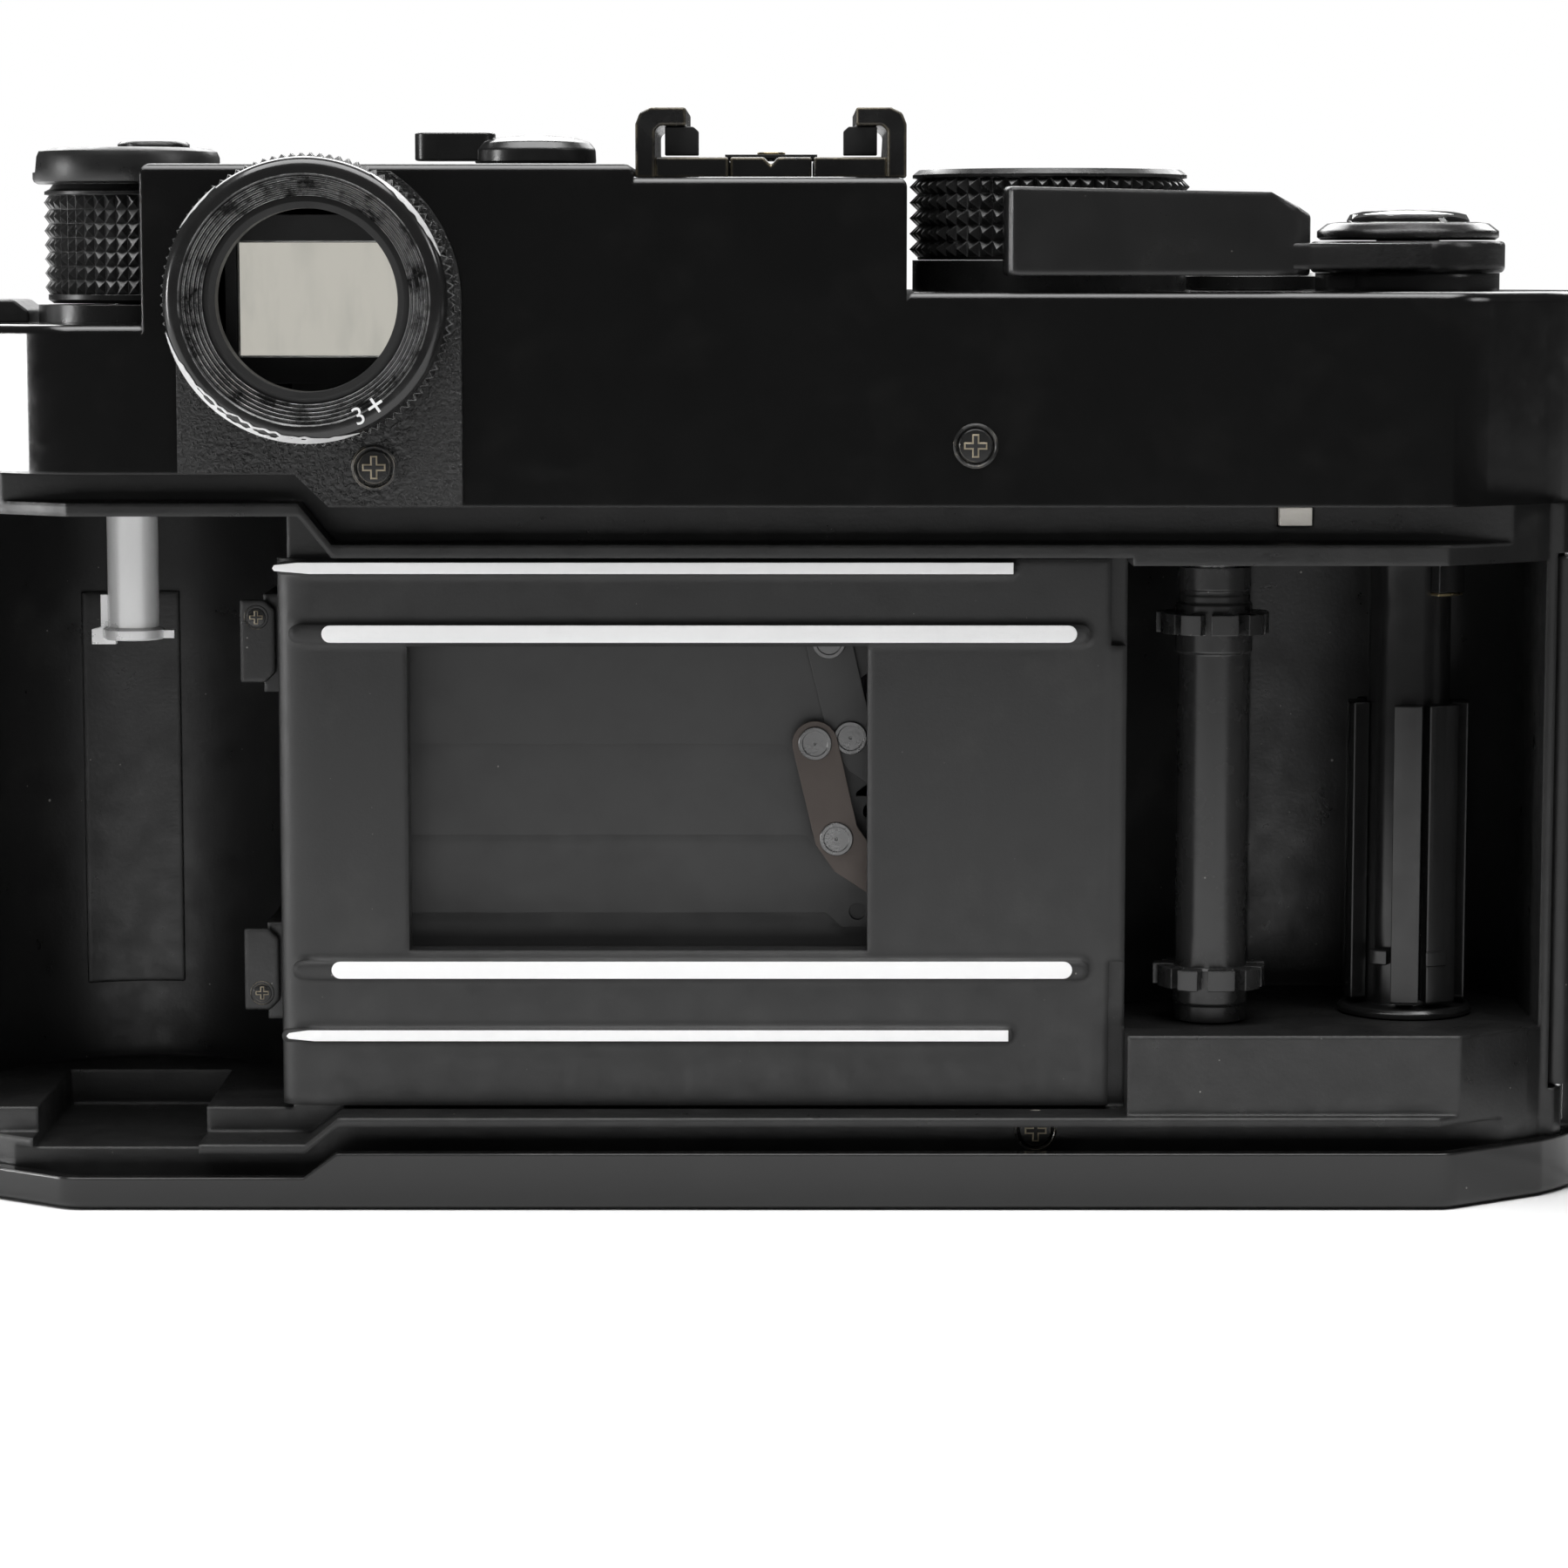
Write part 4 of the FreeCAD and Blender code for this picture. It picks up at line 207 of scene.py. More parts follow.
def glass(name, tint, haze=0.01):
    """Clear glass with faint smears."""
    g = Graph(name)
    smear = g.noise(g.place(), 0.4, 4.0)
    g.put(g.shader.inputs["Base Color"], tint)
    g.put(g.shader.inputs["Transmission Weight"], 1.0)
    g.put(g.shader.inputs["IOR"], 1.5)
    g.put(g.shader.inputs["Roughness"], g.step(smear, 0.4, 0.7, 0.0, haze))
    return g.material


def lit_view(name):
    """The bright picture in the finder, drawn as a glowing pane: painted light standing in for the light that
    comes through from the front, with faint smears.
    """
    g = Graph(name)
    where = g.place()
    smear = g.step(g.noise(g.place((1, 1, 0.25)), 0.5, 5.0, 0.6), 0.45, 0.75)
    tone = g.blend(smear, (0.62, 0.60, 0.55, 1), (0.52, 0.51, 0.47, 1))
    lint = g.specks(where, 0.9, 0.08, 0.06)
    tone = g.blend(lint, tone, (0.2, 0.19, 0.18, 1))
    g.put(g.shader.inputs["Base Color"], g.blend(0.96, tone, rgb(0.02)))
    # Painted light: the pane glows with the tone of the view.
    g.put(g.shader.inputs["Emission Color"], tone)
    g.put(g.shader.inputs["Emission Strength"], 0.85)
    g.put(g.shader.inputs["Roughness"], 0.3)
    return g.material


def build_materials():
    made = {}
    made["casting"] = finish_of("casting", 0.013, 0.36, mottle=0.12, grain=(3.0, 0.10), dust=1.0, wear=0.15,
                                wear_tone=rgb(0.12), edge=0.5)
    made["gate_plate"] = finish_of("gate_plate", 0.0145, 0.38, mottle=0.1, grain=(4.0, 0.06), dust=0.9,
                                   edge=0.9)
    made["shell_gloss"] = finish_of("shell_gloss", 0.003, 0.13, mottle=0.3, rough_spread=0.03,
                                    grain=(1.2, 0.008),
                                    dust=0.3, wear=0.2, wear_tone=rgb(0.06), wear_width=0.1, edge=0.3,
                                    scratches=0.05)
    made["skin"] = leather("skin")
    made["front_plate"] = finish_of("front_plate", 0.014, 0.4, dust=0.3)
    made["mount_chrome"] = finish_of("mount_chrome", 0.62, 0.2, metal=1.0, stretch=(1, 6, 1),
                                     grain=(2.0, 0.05))
    made["blade"] = finish_of("blade", 0.036, 0.5, metal=0.2, mottle=0.04, grain=(5.0, 0.02), dust=0.1,
                              edge=0.03)
    made["arm"] = finish_of("arm", 0.06, 0.42, metal=0.55, tint=(1.15, 0.95, 0.85), grain=(4.0, 0.05),
                            edge=0.05)
    made["spool"] = finish_of("spool", 0.010, 0.2, mottle=0.3, rough_spread=0.05, grain=(1.5, 0.02),
                              dust=0.25,
                              stretch=(1, 1, 0.2), edge=0.12)
    made["sprocket"] = finish_of("sprocket", 0.024, 0.26, mottle=0.1, rough_spread=0.04, grain=(2.0, 0.02),
                                 dust=0.4, wear=0.3, wear_tone=rgb(0.2), edge=0.1, stretch=(1, 1, 0.3))
    made["steel"] = finish_of("steel", 0.66, 0.24, metal=1.0, stretch=(1, 1, 6), grain=(2.0, 0.05),
                              mottle=0.08,
                              edge=0.08)
    made["knob"] = finish_of("knob", 0.012, 0.34, mottle=0.25, dust=0.35, wear=0.55, wear_tone=rgb(0.22),
                             wear_width=0.1, edge=0.06)
    made["eye_plate"] = finish_of("eye_plate", 0.012, 0.32, mottle=0.2, grain=(2.5, 1.0), crackle=2.6,
                                  dust=0.2,
                                  edge=0.12)
    made["eye_ring"] = finish_of("eye_ring", 0.010, 0.2, mottle=0.3, grain=(1.5, 0.03), dust=0.15, wear=0.75,
                                 wear_tone=rgb(0.75), wear_width=0.14, edge=0.08)
    made["glass"] = glass("glass", (0.97, 0.97, 0.95, 1))
    made["finder"] = finish_of("finder", 0.008, 0.55, mottle=0.2)
    made["shoe"] = finish_of("shoe", 0.010, 0.24, mottle=0.3, dust=0.5, wear=0.85,
                             wear_tone=(0.62, 0.52, 0.34, 1),
                             wear_width=0.22, edge=0.15)
    made["brass"] = finish_of("brass", 0.55, 0.28, metal=1.0, tint=(1.0, 0.8, 0.45), grain=(2.0, 0.1))
    made["lens_black"] = finish_of("lens_black", 0.010, 0.34, mottle=0.2, dust=0.2, wear=0.25,
                                   wear_tone=rgb(0.2), edge=0.08)
    made["screw"] = finish_of("screw", 0.028, 0.3, metal=0.6, grain=(3.0, 0.12), dust=0.4, wear=0.55,
                              wear_tone=(0.5, 0.44, 0.34, 1), wear_width=0.1, edge=0.06)
    made["dial"] = finish_of("dial", 0.011, 0.3, mottle=0.25, dust=0.45, wear=0.4, wear_tone=rgb(0.2),
                             edge=0.08)
    made["lever"] = finish_of("lever", 0.012, 0.2, mottle=0.3, rough_spread=0.05, dust=0.3, wear=0.4,
                              wear_tone=rgb(0.3), wear_width=0.1, edge=0.5)
    made["insulator"] = finish_of("insulator", 0.012, 0.5)
    made["rail"] = finish_of("rail", 0.95, 0.42, mottle=0.05, stretch=(0.12, 1, 4), grain=(3.0, 0.12),
                             edge=0.08)
    # Rubbed rim metal, brightened as a painted reflection.
    made["worn_rim_reflection"] = finish_of("worn_rim_reflection", 0.62, 0.32, metal=0.25, mottle=0.45, grain=(2.5, 0.2))
    made["bare_metal"] = finish_of("bare_metal", 0.86, 0.3, metal=0.35, mottle=0.04, rough_spread=0.05,
                                   stretch=(6, 6, 0.25), grain=(1.5, 0.06), edge=0.1)
    made["worn_slot"] = finish_of("worn_slot", 0.30, 0.4, metal=0.6, tint=(1.0, 0.86, 0.62), grain=(4.0, 0.1))
    made["paint_white"] = finish_of("paint_white", 0.8, 0.5, mottle=0.06)
    made["rivet"] = finish_of("rivet", 0.16, 0.3, metal=0.85, grain=(4.0, 0.1), edge=0.05)
    made["painted_finder_glow"] = lit_view("painted_finder_glow")
    made["coated"] = glass("coated", (0.80, 0.78, 0.92, 1), 0.02)
    made["pale_tab"] = finish_of("pale_tab", 0.85, 0.4, metal=0.1, tint=(1.0, 0.96, 0.88), grain=(3.0, 0.15),
                                 edge=0.15)
    return made


LOOKS = build_materials()


# ---------------------------------------------------------------- mesh helpers


BEVEL_ANGLE, SOFT_ANGLE = 28, 40      # edges sharper than this are bevelled; shading is smooth below it
WELD = 1e-7


def add(name, verts, faces, look, body, replaces=(), smooth=None, bevel=0.0, segments=2):
    """A new piece from points in millimetres, riding a body and standing in for CAD nodes."""
    mesh = bpy.data.meshes.new(name)
    mesh.from_pydata([Vector(v) * MM for v in verts], [], faces)
    mesh.validate()
    work = bmesh.new()
    work.from_mesh(mesh)
    bmesh.ops.remove_doubles(work, verts=work.verts, dist=WELD)
    bmesh.ops.recalc_face_normals(work, faces=work.faces)
    work.to_mesh(mesh)
    work.free()
    piece = bpy.data.objects.new(name, mesh)
    bpy.context.scene.collection.objects.link(piece)
    mesh.materials.append(LOOKS[look])
    if bevel:
        soften = piece.modifiers.new("soften", "BEVEL")
        soften.width = bevel * MM
        soften.segments = segments
        soften.limit_method = "ANGLE"
        soften.angle_limit = math.radians(BEVEL_ANGLE)
        soften.harden_normals = True
        smooth = smooth or SOFT_ANGLE
    if smooth:
        for polygon in mesh.polygons:
            polygon.use_smooth = True
        mesh.set_sharp_from_angle(angle=math.radians(smooth))
    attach(piece, body)
    if replaces:
        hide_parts(*replaces)
    return piece


def moved(verts, matrix=None, at=(0, 0, 0)):
    """Points turned by a matrix and moved to a place."""
    turn = matrix or Matrix.Identity(4)
    shift = Vector(at)
    return [tuple(turn @ Vector(v) + shift) for v in verts]


def lathe(profile, steps=96, closed=True):
    """A ring of points round Z for each (radius, height) of a profile."""
    verts, faces = [], []
    count = len(profile)
    for k in range(steps):
        a = TAU * k / steps
        verts += [(r * math.cos(a), r * math.sin(a), z) for r, z in profile]
    last = count if closed else count - 1
    for k in range(steps):
        here, there = k * count, (k + 1) % steps * count
        for i in range(last):
            j = (i + 1) % count
            faces.append((here + i, there + i, there + j, here + j))
    return verts, faces


def merge(*shapes):
    """Several shapes as one list of points and faces."""
    verts, faces = [], []
    for more_verts, more_faces in shapes:
        start = len(verts)
        verts += more_verts
        faces += [tuple(start + i for i in face) for face in more_faces]
    return verts, faces


def extruded(outline, low, high):
    """An upright prism over an outline in the XY plane."""
    count = len(outline)
    verts = [(x, y, low) for x, y in outline] + [(x, y, high) for x, y in outline]
    faces = [tuple(reversed(range(count))), tuple(range(count, 2 * count))]
    faces += [(i, (i + 1) % count, count + (i + 1) % count, count + i) for i in range(count)]
    return verts, faces


def wall_plate(outline, front, rear):
    """A flat piece that faces the rear: an outline in X and Z between two depths."""
    verts, faces = extruded(outline, front, rear)
    return [(x, z, y) for x, y, z in verts], faces


def stadium(left, right, low, high, steps=10, left_radius=None):
    """An outline with round ends."""
    radius = (high - low) / 2
    middle = (low + high) / 2
    ends = []
    for side, x, r in ((-1, left, left_radius or radius), (1, right, radius)):
        for k in range(steps + 1):
            a = -math.pi / 2 + math.pi * k / steps
            if side < 0:
                ends.append((x + r - r * math.cos(a), middle - radius * math.sin(a)))
            else:
                ends.append((x - r + r * math.cos(a), middle + radius * math.sin(a)))
    return ends


def ribbon(points, half, steps=10):
    """The outline of a strip that follows points, with round ends and soft bends."""
    pts = [Vector((x, z)) for x, z in points]
    left, right = [], []
    for i, p in enumerate(pts):
        before = (pts[i] - pts[i - 1]).normalized() if i else None
        after = (pts[i + 1] - pts[i]).normalized() if i + 1 < len(pts) else None
        run = ((before or after) + (after or before)).normalized()
        side = Vector((-run.y, run.x)) * half
        left.append(p + side)
        right.append(p - side)
    start, end = pts[0], pts[-1]
    first = (pts[1] - pts[0]).normalized()
    last = (pts[-1] - pts[-2]).normalized()
    outline = list(left)
    for k in range(1, steps):
        a = math.pi / 2 - math.pi * k / steps
        outline.append(end + Matrix.Rotation(a, 2) @ last * half)
    outline += list(reversed(right))
    for k in range(1, steps):
        a = -math.pi / 2 - math.pi * k / steps
        outline.append(start + Matrix.Rotation(a, 2) @ first * half)
    return [(p.x, p.y) for p in outline]


def knurl(radius, low, high, rows, count, depth):
    """A band of small pyramids round Z."""
    verts, faces = [], []
    for row in range(rows + 1):
        z = low + (high - low) * row / rows
        for k in range(count):
            a = TAU * k / count
            verts.append(((radius - depth) * math.cos(a), (radius - depth) * math.sin(a), z))
    for row in range(rows):
        z = low + (high - low) * (row + 0.5) / rows
        for k in range(count):
            a = TAU * (k + 0.5) / count
            peak = len(verts)
            verts.append((radius * math.cos(a), radius * math.sin(a), z))
            ring, above = row * count, (row + 1) * count
            after = (k + 1) % count
            corners = (ring + k, ring + after, above + after, above + k)
            faces += [(corners[i], corners[(i + 1) % 4], peak) for i in range(4)]
    return verts, faces


def arc_block(inner, outer, start, end, low, high, steps=6):
    """A block of a ring between two angles, in degrees."""
    angles = [math.radians(start + (end - start) * k / steps) for k in range(steps + 1)]
    outline = [(outer * math.cos(a), outer * math.sin(a)) for a in angles]
    outline += [(inner * math.cos(a), inner * math.sin(a)) for a in reversed(angles)]
    return extruded(outline, low, high)


def rounded_rectangle(left, right, low, high, radius, steps=5):
    """An outline with four round corners."""
    outline = []
    for x, y, turn in ((right - radius, high - radius, 0), (left + radius, high - radius, 1),
                       (left + radius, low + radius, 2), (right - radius, low + radius, 3)):
        for k in range(steps + 1):
            a = math.pi / 2 * (turn + k / steps)
            outline.append((x + radius * math.cos(a), y + radius * math.sin(a)))
    return outline


def figure(name, text, size, matrix, at, look, body, depth=0.02):
    """Engraved or painted figures, as a thin mesh."""
    curve = bpy.data.curves.new(name, "FONT")
    curve.body = text
    curve.size = size * MM
    curve.align_x = "CENTER"
    curve.align_y = "CENTER"
    curve.extrude = depth * MM
    made = bpy.data.objects.new(name, curve)
    bpy.context.scene.collection.objects.link(made)
    bpy.context.view_layer.update()
    mesh = bpy.data.meshes.new_from_object(made)
    bpy.data.objects.remove(made)
    piece = bpy.data.objects.new(name, mesh)
    bpy.context.scene.collection.objects.link(piece)
    mesh.transform(Matrix.Translation(Vector(at) * MM) @ matrix)
    mesh.materials.clear()
    mesh.materials.append(LOOKS[look])
    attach(piece, body)
    return piece


# ---------------------------------------------------------------- CAD nodes keep their shape


def paint_nodes():
    """Each CAD node takes the finish of its slot in the record."""
    slots = {s["node"]: s["material_slot"] for s in frame["record"]["subparts"]}
    for name, node in frame["nodes"].items():
        look = LOOKS[slots[name]]
        for index in range(len(node.data.materials)):
            node.data.materials[index] = look
        if not node.data.materials:
            node.data.materials.append(look)
    for name, look in (("counter_reset_tab", "pale_tab"), ("rewind_collar", "knob")):
        frame["nodes"][name].data.materials[0] = LOOKS[look]


# ---------------------------------------------------------------- film gate and rails


def film_gate():
    """The machined plate with a rounded left edge, black ribs and bright rail faces."""
    rear, seat, gate = PLATE_REAR, PLATE_SEAT, PICTURE
    left, right, low, high = 28.2, -37.0, 7.3, 50.5
    turns = [math.pi / 2 * k / 12 for k in range(13)]
    edge_x = [left - 3.7 * (1 - math.cos(a)) for a in turns]
    edge_y = [seat + (rear - seat) * math.sin(a) for a in turns]
    columns = list(zip(edge_x, edge_y)) + [(gate[1], rear), (gate[0], rear), (right, rear)]
    rows = [low, gate[2], gate[3], high]
    verts = [(x, y, z) for z in rows for x, y in columns] + [(x, seat, z) for z in rows for x, y in columns]
    wide, back = len(columns), len(columns) * len(rows)
    faces = []
    hole = (wide - 3, 1)
    for j in range(len(rows) - 1):
        for i in range(wide - 1):
            if (i, j) == hole:
                continue
            a = j * wide + i
            faces.append((a, a + 1, a + wide + 1, a + wide))
    for i in range(wide - 1):
        for a in (i, (len(rows) - 1) * wide + i):
            faces.append((a, a + 1, back + a + 1, back + a))
    for j in range(len(rows) - 1):
        for a in (j * wide, j * wide + wide - 1):
            faces.append((a, a + wide, back + a + wide, back + a))
    corners = [hole[0] + wide, hole[0] + 1 + wide, hole[0] + 1 + 2 * wide, hole[0] + 2 * wide]
    for k in range(4):
        a, b = corners[k], corners[(k + 1) % 4]
        faces.append((a, b, back + b, back + a))
    plate = (verts, faces)
    key = wall_plate([(right + 0.05, 18.8), (-38.2, 18.8), (-38.2, 43.7), (right + 0.05, 43.7)], seat, rear)
    ribs = []
    for under, over in INNER_RIBS:
        ribs.append(wall_plate(stadium(-35.35, 27.2, under, over), rear - 0.2, 11.93))
    for under, over in OUTER_RIBS:
        rib = stadium(-29.45, 28.05, under - 0.05, over + 0.05, left_radius=0.4)
        ribs.append(wall_plate(rib, rear - 0.2, 12.1))
    verts, faces = merge(plate, key, *ribs)
    add("gate_plate_looks", verts, faces, "gate_plate", "body", ["film_gate_plate"], bevel=0.12)
    inner = [wall_plate(stadium(-34.3, 24.6, 43.98, 45.34), 11.85, 12.0),
             wall_plate(stadium(-34.1, 24.1, 17.49, 18.85), 11.85, 12.0)]
    outer = [wall_plate([(-29.3, 49.35), (25.5, 49.37), (28.2, 49.6), (28.35, 49.8), (28.2, 50.05),
                         (26.5, 50.25),
                         (-29.3, 50.25)], 12.05, 12.2),
             wall_plate([(-29.1, 12.53), (25.5, 12.55), (27.5, 12.75), (27.7, 12.95), (27.5, 13.2),
                         (26.0, 13.41),
                         (-29.1, 13.41)], 12.05, 12.2)]
    verts, faces = merge(*inner, *outer)
    add("rail_faces", verts, faces, "rail", "body", bevel=0.03)


# ---------------------------------------------------------------- shutter


def shutter():
    """Arms with round heads and rivets, over the four blades."""
    hangs = [(17.1, 17.2), (15.4, 9.6), (13.7, 3.6), (12.0, -2.4)]
    arms = (("shutter_arm_main", "shutter_arm", -31.0, 18.5, 8.1, "arm"),
            ("shutter_arm_second", "shutter_arm_second", -32.1, 26.5, 7.6, "blade"))
    for node, body, x, z, front, look in arms:
        path = [(x, z), (x + 6.2, z + 4.4), (x + 12.3, z + 7.0), (x + 14.3, z + 8.3)]
        path += [(x + a, z + b) for a, b in ((15.4, 9.9), hangs[0])]
        verts, faces = wall_plate(ribbon(path, 1.8), front, front + 0.25)
        heads = []
        for a, b in hangs[:2]:
            profile = [(0, 0), (1.32, 0), (1.32, 0.14), (1.26, 0.2), (1.02, 0.2), (0.96, 0.13), (0.12, 0.13),
                       (0.08, 0.05), (0, 0.05)]
            v, f = lathe(profile, 48)
            heads.append((moved(v, TO_REAR, (x + a, front + 0.25, z + b)), f))
        post = lathe([(0, 0), (0.8, 0), (0.8, 1.0), (0, 1.0)], 32)
        heads.append((moved(post[0], TO_REAR, (x, front + 0.25, z)), post[1]))
        pins = []
        for number, (a, b) in enumerate(hangs[:2]):
            reach = front - (7.3 - 0.32 * number)
            v, f = lathe([(0, 0), (0.6, 0), (0.6, -reach), (0, -reach)], 24)
            pins.append((moved(v, TO_REAR, (x + a, front, z + b)), f))
        add(node + "_looks", verts, faces, look, body, [node], bevel=0.05)
        verts, faces = merge(*heads, *pins)
        add(node + "_rivets", verts, faces, "rivet", body, smooth=35)


# ---------------------------------------------------------------- film transport


def sprocket():
    """A shaft with two toothed drums: five teeth on each, between low pads."""
    x, y = SPROCKET
    profile = [(0, 13.4), (2.85, 13.4), (2.85, 14.7), (3.05, 14.9), (3.05, 17.6), (2.85, 17.8), (2.8, 42.7),
               (3.05, 42.9), (3.05, 46.6), (2.85, 46.8), (2.85, 47.3), (2.75, 47.4), (2.75, 47.7),
               (2.9, 47.8),
               (2.9, 49.6), (2.1, 49.6), (2.1, 50.0), (1.5, 50.0), (1.5, 54.1), (0, 54.1)]
    shaft = lathe(profile, 72)
    parts = [shaft]
    for level in (16.98, 45.15):
        for k in range(10):
            middle = 90 + 7 + 36 * k
            wide = 11 if k % 2 else 15
            reach = 4.6 if k % 2 else 4.35
            parts.append(arc_block(2.9, reach, middle - wide, middle + wide, level - 0.82, level + 0.82, 4))
    verts, faces = merge(*parts)
    add("sprocket_looks", moved(verts, at=(x, y, 0)), faces, "sprocket", "sprocket", ["sprocket_shaft"],
        bevel=0.12)
    ring = lathe([(1.5, 49.6), (2.3, 49.6), (2.3, 49.95), (1.5, 49.95)], 48)
    add("sprocket_washer", moved(ring[0], at=(x, y, 0)), ring[1], "steel", "sprocket", smooth=35)


def spool():
    """A glossy core above, and a barrel of separate fingers with small hooks below."""
    x, y = SPOOL
    core = lathe([(0, 13.4), (5.4, 13.4), (5.4, 13.8), (5.1, 14.1), (3.4, 14.2), (3.4, 38.0), (3.3, 38.6),
                  (3.25, 50.0), (1.5, 50.0), (1.5, 54.1), (0, 54.1)], 96)
    fingers = [arc_block(3.5, 4.9, 90 + a, 90 + b, 14.6, 38.5, 6)
               for a, b in ((-21, 6), (13, 47), (68, 110), (130, 170), (190, 230), (250, 292))]
    hooks = [arc_block(3.5, 4.65, 90 - 46, 90 - 26, 17.6, 18.8, 4),
             arc_block(4.8, 5.05, 90 + 12, 90 + 34, 17.6, 18.8, 4)]
    verts, faces = merge(core, *fingers, *hooks)
    add("spool_looks", moved(verts, at=(x, y, 0)), faces, "spool", "takeup_spool", ["takeup_spool"],
        bevel=0.1)
    clip = arc_block(3.3, 4.6, 90 + 22, 90 + 62, 47.4, 49.8, 6)
    add("spool_catch", moved(clip[0], at=(x, y, 0)), clip[1], "spool", "takeup_spool", bevel=0.08)
    line = arc_block(3.3, 4.5, 90 + 22, 90 + 60, 47.15, 47.35, 6)
    add("spool_line", moved(line[0], at=(x, y, 0)), line[1], "brass", "takeup_spool")


# ---------------------------------------------------------------- rewind side


def rewind():
    """The knurled knob, its fork shaft, and the crank with its handle."""
    x, y = REWIND
    notch_floor, notch_half = 80.5, 2.95       # room in the rim for the crank when it swings out
    band = knurl(6.55, 70.9, 78.7, 7, 44, 0.4)
    body = lathe([(0, 70.2), (5.9, 70.2), (6.3, 70.5), (6.3, 70.9), (6.1, 70.9), (6.1, 78.7), (6.5, 78.75),
                  (6.5, 79.0), (6.1, 79.2), (5.8, 79.6), (7.0, 79.6), (7.3, 79.75), (7.4, 80.0), (7.4, 81.7),
                  (7.2, 82.15), (6.7, 82.4), (5.7, 82.45), (5.5, 82.3), (5.5, 80.65), (0, 80.65)], 96)
    notched = []
    for px, py, pz in body[0]:
        if px > 3.0 and abs(py) < notch_half:
            pz = min(pz, notch_floor)
        notched.append((px, py, pz))
    verts, faces = merge(band, (notched, body[1]))
    add("rewind_knob_looks", moved(verts, at=(x, y, 0)), faces, "knob", "rewind_knob", ["rewind_knob"],
        smooth=25)
    shaft = lathe([(0, 43.3), (2.3, 43.3), (2.45, 43.45), (2.45, 44.1), (2.3, 44.2), (2.05, 44.3),
                   (2.05, 54.2),
                   (1.6, 54.4), (1.6, 70.2), (0, 70.2)], 72)
    tooth = [(1.4, 42.9), (3.35, 42.9), (3.35, 44.1), (2.6, 44.3), (2.6, 46.9), (1.8, 46.9)]
    foot = [(-1.4, 43.4), (-3.3, 43.4), (-3.3, 44.05), (-1.4, 44.05)]
    prongs = [wall_plate(tooth, -0.4, 0.4), wall_plate(foot, -0.5, 0.5)]
    verts, faces = merge(shaft, *prongs)
    add("rewind_shaft_looks", moved(verts, at=(x, y, 0)), faces, "bare_metal", "rewind_knob",
        ["rewind_shaft"],
        smooth=35)
    arm = extruded(rounded_rectangle(-4.6, 4.6, -2.4, 2.4, 2.3), 81.1, 82.35)
    add("rewind_crank_looks", moved(arm[0], at=(x, y, 0)), arm[1], "knob", "rewind_crank", ["rewind_crank"],
        bevel=0.2)
    grip = lathe([(0, 81.7), (0.8, 81.7), (0.8, 82.4), (2.6, 82.4), (2.85, 82.5), (2.85, 82.75), (2.6, 82.95),
                  (1.6, 82.9), (0, 82.85)], 64)
    add("crank_handle_looks", moved(grip[0], at=(x - 2.2, y, 0)), grip[1], "lever", "crank_handle",
        ["crank_handle"], smooth=30)


# ---------------------------------------------------------------- eyepiece


def finder_field(x, z):
    """The lit field of the finder: a rectangle with its corners cut off on one side."""
    right, left, low, high = x - 6.1, x + 6.1, z - 4.35, z + 4.35
    cut = 0.7
    return wall_plate([(left, low), (left, high), (right + cut, high), (right, high - cut),
                       (right, low + cut),
                       (right + cut, low)], 10.3, 10.5)


def rim_wear(x, z, rear):
    """Thin crescents of bare metal on the ring's rim: partly rubbed wear, partly painted reflections of the
    floor and the lights.
    """
    rim, steps, thick = 10.74, 40, 0.2
    verts, faces = [], []
    # The lower-left and upper-right crescents sit where the floor and the lights reflect: painted
    # reflections.
    for first, last, width in ((193, 292, 0.62), (18, 62, 0.3), (128, 150, 0.16)):
        start = len(verts)
        for k in range(steps + 1):
            a = math.radians(first + (last - first) * k / steps)
            ragged = 1 + 0.22 * math.sin(a * 17) * math.sin(a * 41)
            wide = width * (math.sin(math.pi * k / steps) ** 0.8 + 0.03) * ragged
            for out in (rim + 0.04, rim - wide):
                up = 5.0 - 1.25 * max(out - 10.08, 0.0) ** 1.6 + 0.06
                verts.append((x - out * math.cos(a), rear + up, z + out * math.sin(a)))
                verts.append((x - out * math.cos(a), rear + up - thick, z + out * math.sin(a)))
        for k in range(steps):
            h = start + 4 * k
            faces += [(h, h + 2, h + 6, h + 4), (h + 1, h + 5, h + 7, h + 3), (h, h + 4, h + 5, h + 1),
                      (h + 2, h + 3, h + 7, h + 6)]
        end = start + 4 * steps
        faces += [(start, start + 1, start + 3, start + 2), (end, end + 2, end + 3, end + 1)]
    add("eyepiece_rim_wear_reflection", verts, faces, "worn_rim_reflection", "body")


